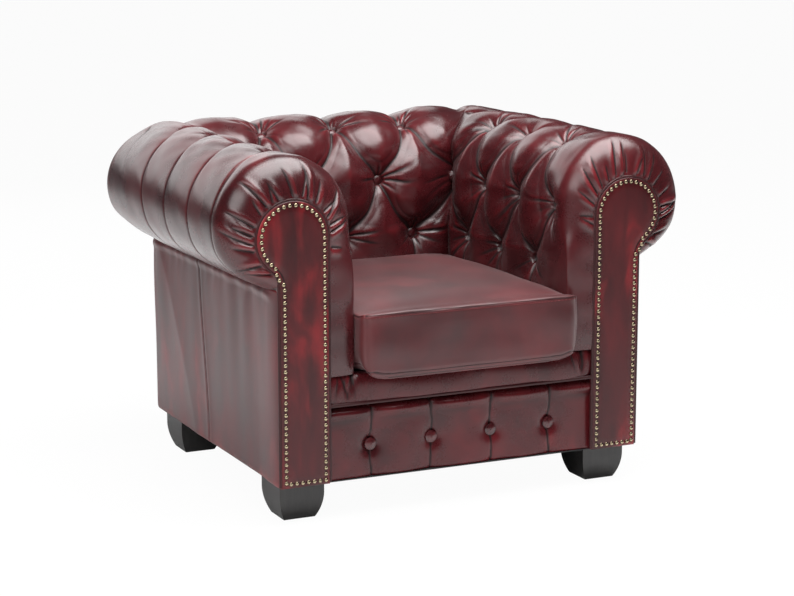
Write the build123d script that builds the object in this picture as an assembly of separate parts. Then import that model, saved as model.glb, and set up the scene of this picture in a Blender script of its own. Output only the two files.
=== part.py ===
from build123d import *
import os
from math import asin, cos, hypot, pi, radians, sin, sqrt

# Rolled-arm leather armchair with a diamond-tufted inside and a loose seat cushion, in millimetres.
# +Z is up, the front faces -Y and +X is on the right as seen from the front.
# The origin is on the floor, under the middle of the overall box.
# Arms and back share one cross-section, drawn in (u, z), with u = 0 on the axis of the roll and
# u < 0 towards the seat.

# Overall sizes
SEAT_WIDTH = 500.0
SEAT_DEPTH = 597.0
ARM_WIDTH = 170.0
ROLL_RADIUS = 145.0
OVERALL_HEIGHT = 765.0
FOOT_HEIGHT = 81.0
DECK_Z = 306.0
SEAM_DROP = 129.0
CUSHION_OVERHANG = 33.0

# Gaps
FIT_GAP = 0.3
HOLE_GAP = 0.1
MITRE_GAP = 0.3

# Facing scroll at the front of each arm
INSIDE_PAD = 62.0
HEAD_RADIUS = 78.0
HEAD_DROP = 20.0
NECK_RADIUS = 35.0
FACING_SETBACK = 1.0
FACING_THICKNESS = 12.0
SCROLL_BOARD_THICKNESS = 22.0

# Nails round the facing
NAIL_PITCH = 13.0
NAIL_INSET = 9.5
NAIL_RADIUS = 4.8
NAIL_CROWN = 3.0
NAIL_SHANK_RADIUS = 0.9
NAIL_LENGTH = 17.0

# Tufted inside
ROW_1_DROP = 142.0
ROW_2_DROP = 12.0
ROW_3_ANGLE = 67.0
OVER_ANGLE = 112.0
SIDE_ANGLE = 158.0
UNDER_ANGLE = 205.0
TIP_OUT = 4.0
FRONT_ROUND = 62.0
FRONT_STEPS = (0.05, 0.2, 0.5, 1.0)
FIRST_COLUMN = 122.0
TUFT_COLUMNS = 3
CORNER_REACH = 17.0
TUFT_DEPTH = 38.0
PLEAT_DEPTH = 20.0
SLOPE_DEPTH = 7.0
FOLD_DEPTH = 12.0
OVER_FOLD_DEPTH = 8.0
FULLNESS = 0.35

# Covered buttons
BUTTON_RADIUS = 11.5
BUTTON_EDGE = 4.0
BUTTON_CROWN = 4.0
BUTTON_SINK = 3.0
POCKET_REACH = 70.0
CORNER_BUTTON_INSET = 31.0

# Front apron and seat lip
APRON_RECESS = 12.0
APRON_PANEL = 141.0
APRON_PLEATS = 4
APRON_BUTTON_Z = 151.0
APRON_PLEAT_DEPTH = 6.0
APRON_TUFT_DEPTH = 9.0
APRON_BULGE = 2.0
APRON_BUTTON_RADIUS = 13.0
LIP_HEIGHT = 66.0
LIP_ROUND = 10.0

# Loose cushion
CUSHION_SIDE_GAP = 1.5
CUSHION_BORDER = 128.0
CUSHION_CROWN = 20.0
CUSHION_WAIST = 5.0
CUSHION_SIDE_BULGE = 4.0
CUSHION_END_INSET = 9.0
CUSHION_END_ROUND = 12.0
CUSHION_SKIN = 3.0
ZIP_WIDTH = 420.0
ZIP_HEIGHT = 22.0
ZIP_THICKNESS = 1.5

# Feet
FOOT_TOP = 100.0
FOOT_BOTTOM = 70.0
FOOT_SHOULDER = 26.0
FOOT_BELLY = 3.5
FOOT_INSET = 10.0
FOOT_SETBACK = 37.0
STUD_RADIUS = 4.0
STUD_IN_FOOT = 40.0
STUD_IN_BLOCK = 20.0

# Wooden frame
PANEL_THICKNESS = 6.0
RAIL_THICKNESS = 30.0
RAIL_TOP_Z = 238.0
DUST_COVER_THICKNESS = 1.0
DUST_COVER_INSET = 12.0
BLOCK_HEIGHT = 40.0
BLOCK_SIZE = 70.0
POST_SIZE = 44.0
TOP_RAIL_HEIGHT = 118.0
BOARD_THICKNESS = 4.0
TACK_RAIL_Z = 262.0
TACK_RAIL_HEIGHT = 82.0
BATTEN_HEIGHT = 35.0
SCREW_RADIUS = 2.2
SCREW_HEAD_RADIUS = 4.5
SCREW_HEAD_HEIGHT = 3.0
SCREW_GRIP = 22.0

# Seat suspension
SPRING_COUNT = 5
SPRING_SPREAD = 440.0
SPRING_WIRE = 3.6
SPRING_WIDTH = 46.0
SPRING_PITCH = 34.0
SPRING_BEND = 11.0
CLIP_PLATE = 1.5
CLIP_WIDTH = 30.0
CLIP_DEPTH = 16.0
FELT_THICKNESS = 4.0
FELT_INSET = 30.0

# Places that follow from the sizes above
ROLL_X = SEAT_WIDTH / 2 + ROLL_RADIUS
ROLL_Z = OVERALL_HEIGHT - ROLL_RADIUS
SEAM_Z = ROLL_Z - SEAM_DROP
ROW_2_Z = ROLL_Z - ROW_2_DROP
FRONT_Y = (CUSHION_OVERHANG - SEAT_DEPTH - 2 * ROLL_RADIUS) / 2
BACK_CREST_Y = FRONT_Y + SEAT_DEPTH
ROLL_Y = BACK_CREST_Y + ROLL_RADIUS
PANEL_U = ARM_WIDTH - ROLL_RADIUS
PANEL_X = ROLL_X + PANEL_U
PANEL_Y = ROLL_Y + PANEL_U
FACING_INNER_U = INSIDE_PAD - ROLL_RADIUS
FACING_OUTER_U = PANEL_U - FACING_SETBACK
FACING_INNER_X = ROLL_X + FACING_INNER_U
CORE_INNER_Y = ROLL_Y + FACING_INNER_U
HEAD_U = FACING_INNER_U + HEAD_RADIUS
HEAD_Z = ROLL_Z - HEAD_DROP
FRAME_Z = FOOT_HEIGHT + DUST_COVER_THICKNESS
FRAME_X = PANEL_X - PANEL_THICKNESS - FIT_GAP
FRAME_Y = PANEL_Y - PANEL_THICKNESS - FIT_GAP
BOARD_BACK_Y = FRONT_Y + FACING_THICKNESS + SCROLL_BOARD_THICKNESS
FRAME_FRONT_Y = BOARD_BACK_Y + FIT_GAP
INNER_RAIL_X = FRAME_X - RAIL_THICKNESS
INNER_RAIL_Y = FRAME_Y - RAIL_THICKNESS
POST_X = INNER_RAIL_X - FIT_GAP - POST_SIZE / 2
POST_Y = INNER_RAIL_Y - FIT_GAP - POST_SIZE / 2
TOP_RAIL_Z = HEAD_Z - HEAD_RADIUS - FIT_GAP
FOOT_X = PANEL_X - FOOT_INSET - FOOT_TOP / 2
FOOT_FRONT_Y = FRONT_Y + FOOT_SETBACK + FOOT_TOP / 2
FOOT_REAR_Y = PANEL_Y - FOOT_SETBACK - FOOT_TOP / 2
SPRING_Z = RAIL_TOP_Z + CLIP_PLATE
FELT_Z = SPRING_Z + SPRING_WIRE + FIT_GAP
PAD_Z = FELT_Z + FELT_THICKNESS
COVER_Z = DECK_Z + FIT_GAP
FAR = 4 * OVERALL_HEIGHT

# Stops along the crest of the cross-section, as lengths from the bottom of the tufted inside
FACE_LENGTH = ROLL_Z - COVER_Z
ROW_1 = ROLL_Z - ROW_1_DROP - COVER_Z
ROW_2 = ROW_2_Z - COVER_Z
ROW_3 = FACE_LENGTH + ROLL_RADIUS * radians(ROW_3_ANGLE)
OVER = FACE_LENGTH + ROLL_RADIUS * radians(OVER_ANGLE)
SIDE = FACE_LENGTH + ROLL_RADIUS * radians(SIDE_ANGLE)
UNDER = FACE_LENGTH + ROLL_RADIUS * radians(UNDER_ANGLE)
STOPS = (0.0, ROW_1, (ROW_1 + ROW_2) / 2, ROW_2, (ROW_2 + ROW_3) / 2, ROW_3, OVER, SIDE, UNDER)

# Depths below the crest at each stop, in a column of buttons in rows 1 and 3, in a column of buttons
# in row 2, in a column halfway between them, and where the pad is smooth
ODD_COLUMN = (FOLD_DEPTH, TUFT_DEPTH, SLOPE_DEPTH, 0.0, SLOPE_DEPTH, TUFT_DEPTH,
              OVER_FOLD_DEPTH, OVER_FOLD_DEPTH, OVER_FOLD_DEPTH)
EVEN_COLUMN = (0.0, 0.0, SLOPE_DEPTH, TUFT_DEPTH, SLOPE_DEPTH, 0.0, 0.0, 0.0, 0.0)
HALF_COLUMN = (SLOPE_DEPTH, SLOPE_DEPTH, PLEAT_DEPTH, SLOPE_DEPTH, PLEAT_DEPTH, SLOPE_DEPTH, 0.0, 0.0, 0.0)
SMOOTH_COLUMN = (0.0,) * len(STOPS)

os.makedirs("parts", exist_ok=True)


def save(name, shape):
    """Write one named sub-part."""
    export_step(shape, f"parts/{name}.step")


def block(x_range, y_range, z_range):
    """Make a box between two limits on each axis."""
    lows, highs = zip(x_range, y_range, z_range)
    size = [high - low for low, high in zip(lows, highs)]
    return Pos(*lows) * Box(*size, align=(Align.MIN, Align.MIN, Align.MIN))


def save_pair(name, right):
    """Write a right-hand sub-part and its mirror image."""
    save(f"{name}_right", right)
    save(f"{name}_left", mirror(right, about=Plane.YZ))


def arm_plane(y):
    """Give the (u, z) plane of the right arm at one place along its length."""
    return Plane(origin=(ROLL_X, y, 0), x_dir=(1, 0, 0), z_dir=(0, -1, 0))


def back_plane(x):
    """Give the (u, z) plane of the back at one place along its length."""
    return Plane(origin=(x, ROLL_Y, 0), x_dir=(0, 1, 0), z_dir=(1, 0, 0))


def crest(length, depth=0.0):
    """Give the (u, z) point that lies a depth below the crest, a length up from its bottom."""
    if length <= FACE_LENGTH:
        return (depth - ROLL_RADIUS, COVER_Z + length)
    angle = pi - (length - FACE_LENGTH) / ROLL_RADIUS
    radius = ROLL_RADIUS - depth
    return (radius * cos(angle), ROLL_Z + radius * sin(angle))


def crest_normal(length):
    """Give the outward (u, z) direction of the crest."""
    inner, outer = crest(length, 1.0), crest(length)
    return (outer[0] - inner[0], outer[1] - inner[1])


def pad_thickness(length):
    """Give the padding between the crest and the scroll board's outline."""
    if length <= FACE_LENGTH:
        return INSIDE_PAD
    u, z = crest(length)
    return hypot(u - HEAD_U, z - HEAD_Z) - HEAD_RADIUS


def bend(start, middle, end):
    """Join two points with an arc through a third, or with a line where they are in line."""
    run = Vector(*end) - Vector(*start)
    off_line = abs(run.X * (middle[1] - start[1]) - run.Y * (middle[0] - start[0])) / run.length
    if off_line < HOLE_GAP:
        return Line(start, end)
    return ThreePointArc(start, middle, end)


def pad_section(depths):
    """Draw one cross-section of the padding, closed through the middle of the scroll board's outline."""
    edges = []
    for first, second, depth_1, depth_2 in zip(STOPS, STOPS[1:], depths, depths[1:]):
        sag = (depth_1 + depth_2) / 2 - FULLNESS * abs(depth_1 - depth_2)
        edges.append(bend(crest(first, depth_1), crest((first + second) / 2, sag), crest(second, depth_2)))
    inside_u = (FACING_INNER_U + FACING_OUTER_U) / 2
    tip = (PANEL_U + TIP_OUT, SEAM_Z)
    corners = [crest(STOPS[-1], depths[-1]), tip, (inside_u, SEAM_Z), (inside_u, COVER_Z)]
    corners.append(crest(0.0, depths[0]))
    edges += [Line(start, end) for start, end in zip(corners, corners[1:])]
    return Face(Wire(edges))


def scroll_outline(grow, bottom):
    """Draw the scroll outline of the facing, grown by a margin, down to a given height."""
    inner_u, outer_u = FACING_INNER_U - grow, FACING_OUTER_U + grow
    head, neck = HEAD_RADIUS + grow, NECK_RADIUS - grow
    neck_u = outer_u + neck
    neck_z = HEAD_Z - sqrt((head + neck) ** 2 - (neck_u - HEAD_U) ** 2)
    share = head / (head + neck)
    join = (HEAD_U + (neck_u - HEAD_U) * share, HEAD_Z + (neck_z - HEAD_Z) * share)
    crown = (HEAD_U, HEAD_Z + head)
    slant = head / sqrt(2)
    neck_arc = RadiusArc(join, (outer_u, neck_z), neck)
    if neck_arc.center().X > neck_u:
        neck_arc = RadiusArc(join, (outer_u, neck_z), -neck)
    return Wire([
        Line((inner_u, bottom), (inner_u, HEAD_Z)),
        ThreePointArc((inner_u, HEAD_Z), (HEAD_U - slant, HEAD_Z + slant), crown),
        ThreePointArc(crown, (HEAD_U + head, HEAD_Z), join),
        neck_arc,
        Line((outer_u, neck_z), (outer_u, bottom)),
        Line((outer_u, bottom), (inner_u, bottom)),
    ])


def outer_half(face):
    """Keep the part of a cross-section that lies outside the roll's axis."""
    half_plane = Pos(0, ROLL_Z) * Rectangle(FAR, FAR, align=(Align.MIN, Align.CENTER))
    return (Sketch() + face) & half_plane


def mitre(side, keep_arm):
    """Give the block that trims a piece at the back corner on one side, past the mitre plane."""
    align = Align.MIN if keep_arm else Align.MAX
    shift = -MITRE_GAP / 2 if keep_arm else MITRE_GAP / 2
    tool = Rot(0, 0, 45) * Pos(0, shift) * Box(FAR, FAR, FAR, align=(Align.CENTER, align, Align.CENTER))
    tool = Pos(ROLL_X, ROLL_Y) * tool
    return tool if side > 0 else mirror(tool, about=Plane.YZ)


def arm_run(straight, end_face):
    """Carry a straight arm piece round its half of the back corner."""
    axis = Axis((ROLL_X, ROLL_Y, 0), (0, 0, 1))
    wedge = revolve(arm_plane(ROLL_Y) * outer_half(end_face), axis, 46)
    return straight + wedge - mitre(1, True)


def back_run(straight, end_face):
    """Carry a straight back piece round its half of both back corners."""
    axis = Axis((ROLL_X, ROLL_Y, 0), (0, 0, -1))
    wedge = revolve(back_plane(ROLL_X) * outer_half(end_face), axis, 46)
    whole = straight + wedge + mirror(wedge, about=Plane.YZ)
    return whole - mitre(1, False) - mitre(-1, False)


def tuft_columns(first, pitch, count):
    """List the places and depths of the cross-sections from one row-2 button column to another."""
    columns = [(first, EVEN_COLUMN)]
    for index in range(count):
        start = first + index * pitch
        columns.append((start + pitch / 4, HALF_COLUMN))
        columns.append((start + pitch / 2, ODD_COLUMN))
        columns.append((start + 3 * pitch / 4, HALF_COLUMN))
        columns.append((start + pitch, EVEN_COLUMN))
    return columns


ARM_FIRST_Y = FRONT_Y + FIRST_COLUMN
ARM_PITCH = (SEAT_DEPTH + CORNER_REACH - FIRST_COLUMN) / TUFT_COLUMNS
BACK_FIRST_X = -SEAT_WIDTH / 2 - CORNER_REACH
BACK_PITCH = -2 * BACK_FIRST_X / TUFT_COLUMNS


def front_column(step):
    """Give the depths where the pad rounds over towards the facing."""
    fall = 1 - sqrt(1 - (1 - step) ** 2)
    return tuple(fall * pad_thickness(stop) for stop in STOPS)


def arm_sections():
    """Place the cross-sections of the right arm from its rounded front to the back corner."""
    sections = [(FRONT_Y + step * FRONT_ROUND, front_column(step)) for step in FRONT_STEPS]
    sections += tuft_columns(ARM_FIRST_Y, ARM_PITCH, TUFT_COLUMNS)
    sections.append((ROLL_Y, SMOOTH_COLUMN))
    return [arm_plane(y) * pad_section(depths) for y, depths in sections]


def back_sections():
    """Place the cross-sections of the back from corner to corner."""
    sections = [(-ROLL_X, SMOOTH_COLUMN)]
    sections += tuft_columns(BACK_FIRST_X, BACK_PITCH, TUFT_COLUMNS)
    sections.append((ROLL_X, SMOOTH_COLUMN))
    return [back_plane(x) * pad_section(depths) for x, depths in sections]


def tuft_seats(first, pitch, plane_at):
    """Give the seat of every button in the field, facing out of the tuft."""
    seats = []
    for index in range(2 * TUFT_COLUMNS):
        rows = (ROW_1, ROW_3) if index % 2 else (ROW_2,)
        plane = plane_at(first + index * pitch / 2)
        for row in rows:
            u, z = crest(row, TUFT_DEPTH + BUTTON_SINK)
            normal_u, normal_z = crest_normal(row)
            origin = plane.from_local_coords((u, z, 0))
            tip = plane.from_local_coords((u + normal_u, z + normal_z, 0))
            seats.append(Plane(origin=origin, z_dir=tip - origin))
    return seats


def corner_seat(side):
    """Give the seat of the button in the back corner on one side."""
    x = side * (SEAT_WIDTH / 2 + CORNER_BUTTON_INSET)
    y = BACK_CREST_Y + CORNER_BUTTON_INSET
    return Plane(origin=(x, y, ROW_2_Z), z_dir=(-side, -1, 0))


def dome(radius, low, crown):
    """Draw half of a spherical dome, from its rim at a height up to its top on the axis."""
    sphere = (radius ** 2 + crown ** 2) / (2 * crown)
    half_angle = asin(radius / sphere) / 2
    shoulder = (sphere * sin(half_angle), low + crown - sphere * (1 - cos(half_angle)))
    return ThreePointArc((radius, low), shoulder, (0, low + crown))


def button(radius):
    """Make one covered button, domed on +Z."""
    outline = Wire([
        Line((0, 0), (radius, 0)),
        Line((radius, 0), (radius, BUTTON_EDGE)),
        dome(radius, BUTTON_EDGE, BUTTON_CROWN),
        Line((0, BUTTON_EDGE + BUTTON_CROWN), (0, 0)),
    ])
    return revolve(Plane.XZ * Face(outline), Axis.Z)


def pocket(radius):
    """Make the round pocket that a button sits in."""
    return Cylinder(radius + FIT_GAP, POCKET_REACH, align=(Align.CENTER, Align.CENTER, Align.MIN))


def place_all(shape, planes):
    """Put copies of one shape on a list of planes."""
    return Compound(children=[plane.location * shape for plane in planes])


def cut_pockets(body, radius, seats):
    """Cut a pocket at each seat."""
    return body - [seat.location * pocket(radius) for seat in seats]


def core_face(grow):
    """Give the inside outline of the padding as a face."""
    return Face(scroll_outline(grow, FRAME_Z))


def make_covers():
    """Make the tufted covers of the arms and the back, and their buttons."""
    inside = core_face(FIT_GAP)
    end_face = (Sketch() + pad_section(SMOOTH_COLUMN)) - inside
    arm_seats = tuft_seats(ARM_FIRST_Y, ARM_PITCH, arm_plane)
    back_seats = tuft_seats(BACK_FIRST_X, BACK_PITCH, back_plane)[1:]
    corners = [corner_seat(-1), corner_seat(1)]

    arm = loft(arm_sections(), ruled=True) - extrude(arm_plane(ROLL_Y) * inside, FAR, both=True)
    arm = cut_pockets(arm_run(arm, end_face), BUTTON_RADIUS, arm_seats + corners)
    save_pair("arm_cover", arm)
    save_pair("arm_buttons", place_all(button(BUTTON_RADIUS), arm_seats))

    back = loft(back_sections(), ruled=True) - extrude(back_plane(0) * inside, FAR, both=True)
    back = cut_pockets(back_run(back, end_face), BUTTON_RADIUS, back_seats + corners)
    save("back_cover", back)
    save("back_buttons", place_all(button(BUTTON_RADIUS), back_seats + corners))


def make_roll_cores(rails):
    """Make the foam rolls round the top rails."""
    circle = Face(Wire(Edge.make_circle(HEAD_RADIUS, Plane((HEAD_U, HEAD_Z, 0)))))
    arm = extrude(arm_plane(ROLL_Y) * circle, ROLL_Y - FRAME_FRONT_Y, dir=(0, -1, 0))
    save_pair("arm_roll_core", arm_run(arm, circle) - rails)
    back = extrude(back_plane(-ROLL_X) * circle, 2 * ROLL_X, dir=(1, 0, 0))
    save("back_roll_core", back_run(back, circle) - rails)


def make_facings():
    """Make the arm facings, the scroll boards behind them and the rows of nails."""
    face = arm_plane(FRONT_Y + FACING_THICKNESS) * Face(scroll_outline(0.0, FRAME_Z))
    save_pair("arm_facing", extrude(face, FACING_THICKNESS, dir=(0, -1, 0)))
    face = arm_plane(BOARD_BACK_Y) * Face(scroll_outline(0.0, FRAME_Z))
    save_pair("scroll_board", extrude(face, SCROLL_BOARD_THICKNESS, dir=(0, -1, 0)))

    path = scroll_outline(-NAIL_INSET, FRAME_Z + NAIL_INSET)
    count = round(path.length / NAIL_PITCH)
    spots = [path.position_at(index / count) for index in range(count)]
    front = arm_plane(FRONT_Y)
    seats = [Plane(front.from_local_coords(spot), x_dir=(1, 0, 0), z_dir=(0, -1, 0)) for spot in spots]
    save_pair("facing_nails", place_all(nail(), seats))


def nail():
    """Make one domed nail, with its head on +Z and its shank on -Z."""
    outline = Wire([
        Line((0, -NAIL_LENGTH), (NAIL_SHANK_RADIUS, NAIL_SHANK_RADIUS - NAIL_LENGTH)),
        Line((NAIL_SHANK_RADIUS, NAIL_SHANK_RADIUS - NAIL_LENGTH), (NAIL_SHANK_RADIUS, 0)),
        Line((NAIL_SHANK_RADIUS, 0), (NAIL_RADIUS, 0)),
        dome(NAIL_RADIUS, 0.0, NAIL_CROWN),
        Line((0, NAIL_CROWN), (0, -NAIL_LENGTH)),
    ])
    return revolve(Plane.XZ * Face(outline), Axis.Z)


def apron_section(x, pleat, tuft):
    """Draw one upright section of the apron, with its depth at the edges and at the button row."""
    front = FRONT_Y + APRON_RECESS
    top = DECK_Z - LIP_HEIGHT - FIT_GAP
    bottom = FRAME_Z
    bulge = APRON_BULGE if tuft == 0 else 0.0
    edges = [
        bend((front + pleat, bottom), (front + (pleat + tuft) / 2 - bulge, (bottom + APRON_BUTTON_Z) / 2),
             (front + tuft, APRON_BUTTON_Z)),
        bend((front + tuft, APRON_BUTTON_Z), (front + (pleat + tuft) / 2 - bulge, (APRON_BUTTON_Z + top) / 2),
             (front + pleat, top)),
        Line((front + pleat, top), (BOARD_BACK_Y, top)),
        Line((BOARD_BACK_Y, top), (BOARD_BACK_Y, bottom)),
        Line((BOARD_BACK_Y, bottom), (front + pleat, bottom)),
    ]
    return Plane(origin=(x, 0, 0), x_dir=(0, 1, 0), z_dir=(1, 0, 0)) * Face(Wire(edges))


def make_apron():
    """Make the pleated front apron, its buttons and the lip above it."""
    half = FACING_INNER_X - FIT_GAP
    pleats = [(index - (APRON_PLEATS - 1) / 2) * APRON_PANEL for index in range(APRON_PLEATS)]
    sections = [apron_section(-half, APRON_PLEAT_DEPTH, 0.0)]
    for x in pleats:
        sections.append(apron_section(x - APRON_PANEL / 4, 0.0, 0.0))
        sections.append(apron_section(x, APRON_PLEAT_DEPTH, APRON_TUFT_DEPTH))
        sections.append(apron_section(x + APRON_PANEL / 4, 0.0, 0.0))
    sections.append(apron_section(half, APRON_PLEAT_DEPTH, 0.0))
    seat_y = FRONT_Y + APRON_RECESS + APRON_TUFT_DEPTH + BUTTON_SINK
    seats = [Plane(origin=(x, seat_y, APRON_BUTTON_Z), z_dir=(0, -1, 0)) for x in pleats]
    save("front_apron", cut_pockets(loft(sections, ruled=True), APRON_BUTTON_RADIUS, seats))
    save("apron_buttons", place_all(button(APRON_BUTTON_RADIUS), seats))

    low, high = DECK_Z - LIP_HEIGHT, DECK_Z
    outline = Wire([
        ThreePointArc((FRONT_Y + LIP_ROUND, low), (FRONT_Y, (low + high) / 2), (FRONT_Y + LIP_ROUND, high)),
        Line((FRONT_Y + LIP_ROUND, high), (BOARD_BACK_Y, high)),
        Line((BOARD_BACK_Y, high), (BOARD_BACK_Y, low)),
        Line((BOARD_BACK_Y, low), (FRONT_Y + LIP_ROUND, low)),
    ])
    plane = Plane(origin=(-half, 0, 0), x_dir=(0, 1, 0), z_dir=(1, 0, 0))
    save("seat_lip", extrude(plane * Face(outline), 2 * half, dir=(1, 0, 0)))


def cushion_section(y, inset, waist):
    """Draw one upright section of the cushion, drawn in by an inset all round and by a waist at its sides."""
    half = SEAT_WIDTH / 2 - CUSHION_SIDE_GAP - inset - waist
    corner = half - CUSHION_SIDE_BULGE
    low = DECK_Z + FIT_GAP + inset
    high = DECK_Z + FIT_GAP + CUSHION_BORDER - inset
    middle = (low + high) / 2
    edges = [
        Line((-corner, low), (corner, low)),
        ThreePointArc((corner, low), (half, middle), (corner, high)),
        ThreePointArc((corner, high), (0, high + CUSHION_CROWN), (-corner, high)),
        ThreePointArc((-corner, high), (-half, middle), (-corner, low)),
    ]
    return Plane(origin=(0, y, 0), x_dir=(1, 0, 0), z_dir=(0, -1, 0)) * Face(Wire(edges))


def cushion_body(shrink):
    """Make the cushion's form, shrunk by a margin on every side."""
    front = FRONT_Y - CUSHION_OVERHANG + shrink
    rear = BACK_CREST_Y - CUSHION_SIDE_GAP - ZIP_THICKNESS - shrink
    sections = [
        cushion_section(front, shrink + CUSHION_END_INSET, 0.0),
        cushion_section(front + CUSHION_END_ROUND, shrink, 0.0),
        cushion_section((front + rear) / 2, shrink, CUSHION_WAIST),
        cushion_section(rear - CUSHION_END_ROUND, shrink, 0.0),
        cushion_section(rear, shrink + CUSHION_END_INSET, 0.0),
    ]
    return loft(sections, ruled=True)


def make_cushion():
    """Make the loose seat cushion: its cover, its core and the zip at its rear."""
    save("cushion_cover", cushion_body(0.0) - cushion_body(CUSHION_SKIN))
    save("cushion_core", cushion_body(CUSHION_SKIN + FIT_GAP))
    rear = BACK_CREST_Y - CUSHION_SIDE_GAP - ZIP_THICKNESS
    middle = DECK_Z + FIT_GAP + CUSHION_BORDER / 2
    save("cushion_zip", block((-ZIP_WIDTH / 2, ZIP_WIDTH / 2), (rear, rear + ZIP_THICKNESS),
                              (middle - ZIP_HEIGHT / 2, middle + ZIP_HEIGHT / 2)))


def foot_profile():
    """Draw the side of one foot, straight at the shoulder and curving in to the floor."""
    top, bottom = FOOT_TOP / 2, FOOT_BOTTOM / 2
    shoulder = FOOT_HEIGHT - FOOT_SHOULDER
    belly = ((top + bottom) / 2 + FOOT_BELLY, shoulder / 2)
    return Wire([
        Line((-bottom, 0), (bottom, 0)),
        ThreePointArc((bottom, 0), belly, (top, shoulder)),
        Line((top, shoulder), (top, FOOT_HEIGHT)),
        Line((top, FOOT_HEIGHT), (-top, FOOT_HEIGHT)),
        Line((-top, FOOT_HEIGHT), (-top, shoulder)),
        ThreePointArc((-top, shoulder), (-belly[0], belly[1]), (-bottom, 0)),
    ])


def stud(grow):
    """Make one foot stud, standing on the underside of the frame, grown by a margin."""
    length = STUD_IN_FOOT + DUST_COVER_THICKNESS + STUD_IN_BLOCK + 2 * grow
    rod = Cylinder(STUD_RADIUS + grow, length, align=(Align.CENTER, Align.CENTER, Align.MIN))
    return Pos(0, 0, FOOT_HEIGHT - STUD_IN_FOOT - grow) * rod


def foot_spots():
    """Name the feet and give their places on the floor."""
    return {
        "front_left": (-FOOT_X, FOOT_FRONT_Y),
        "front_right": (FOOT_X, FOOT_FRONT_Y),
        "rear_left": (-FOOT_X, FOOT_REAR_Y),
        "rear_right": (FOOT_X, FOOT_REAR_Y),
    }


def make_feet():
    """Make the four block feet, their studs and the dust cover that they clamp."""
    across = extrude(Plane.XZ * Face(foot_profile()), FOOT_TOP, both=True)
    foot = (across & Rot(0, 0, 90) * across) - stud(HOLE_GAP)
    spots = foot_spots()
    for name, spot in spots.items():
        save(f"foot_{name}", Pos(*spot) * foot)
    save("foot_studs", Compound(children=[Pos(*spot) * stud(0.0) for spot in spots.values()]))
    sheet = block((DUST_COVER_INSET - PANEL_X, PANEL_X - DUST_COVER_INSET),
                  (FRONT_Y + DUST_COVER_INSET, PANEL_Y - DUST_COVER_INSET), (FOOT_HEIGHT, FRAME_Z))
    save("dust_cover", sheet - [Pos(*spot) * stud(HOLE_GAP) for spot in spots.values()])


def screw(grow):
    """Make one frame screw along +X, with its head's seat at the origin, grown by a margin."""
    shank = Cylinder(SCREW_RADIUS + grow, BLOCK_SIZE / 2 + SCREW_GRIP + grow,
                     align=(Align.CENTER, Align.CENTER, Align.MIN))
    head = Cylinder(SCREW_HEAD_RADIUS + grow, SCREW_HEAD_HEIGHT,
                    align=(Align.CENTER, Align.CENTER, Align.MAX))
    return Rot(0, 90, 0) * (shank + head)


def corner_block_spans():
    """Give the X and Y spans of the right-hand corner blocks, front and rear."""
    x_span = (INNER_RAIL_X - FIT_GAP - BLOCK_SIZE, INNER_RAIL_X - FIT_GAP)
    front = FRAME_FRONT_Y + RAIL_THICKNESS + FIT_GAP
    rear = INNER_RAIL_Y - FIT_GAP
    return ((x_span, (front, front + BLOCK_SIZE), -1), (x_span, (rear - BLOCK_SIZE, rear), 1))


def screw_places():
    """Place two screws in each right-hand corner block, above its stud, into the side and cross rails."""
    z = FRAME_Z + (STUD_IN_BLOCK + BLOCK_HEIGHT) / 2
    places = []
    for (x_low, x_high), (y_low, y_high), end in corner_block_spans():
        places.append(Pos(x_high - BLOCK_SIZE / 2, y_high - BLOCK_SIZE / 4, z))
        places.append(Pos(x_low + BLOCK_SIZE / 4, (y_low + y_high) / 2, z) * Rot(0, 0, 90 * end))
    return places


def frame_screws(grow):
    """Make the screws of all four corner blocks, grown by a margin."""
    screws = [place * screw(grow) for place in screw_places()]
    return screws + [mirror(one, about=Plane.YZ) for one in screws]


def screw_wells():
    """Give the wells bored in the right-hand corner blocks behind the screw heads."""
    bore = Cylinder(SCREW_HEAD_RADIUS + HOLE_GAP, BLOCK_SIZE, align=(Align.CENTER, Align.CENTER, Align.MAX))
    return [place * Rot(0, 90, 0) * bore for place in screw_places()]


def make_base():
    """Make the base rails, the corner blocks and their screws."""
    holes = frame_screws(HOLE_GAP)
    height = (FRAME_Z, RAIL_TOP_Z)
    side = block((INNER_RAIL_X, FRAME_X), (FRAME_FRONT_Y, FRAME_Y), height) - holes
    save_pair("side_rail", side)
    span = (FIT_GAP - INNER_RAIL_X, INNER_RAIL_X - FIT_GAP)
    save("front_rail", block(span, (FRAME_FRONT_Y, FRAME_FRONT_Y + RAIL_THICKNESS), height) - holes)
    save("rear_rail", block(span, (INNER_RAIL_Y, FRAME_Y), height) - holes)

    studs = [Pos(*spot) * stud(HOLE_GAP) for spot in foot_spots().values()]
    bores = holes + studs + screw_wells()
    block_z = (FRAME_Z, FRAME_Z + BLOCK_HEIGHT)
    blocks = [block(x_span, y_span, block_z) - bores for x_span, y_span, end in corner_block_spans()]
    blocks += [mirror(one, about=Plane.YZ) for one in blocks]
    save("corner_blocks", Compound(children=blocks))
    save("frame_screws", Compound(children=frame_screws(0.0)))


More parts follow.
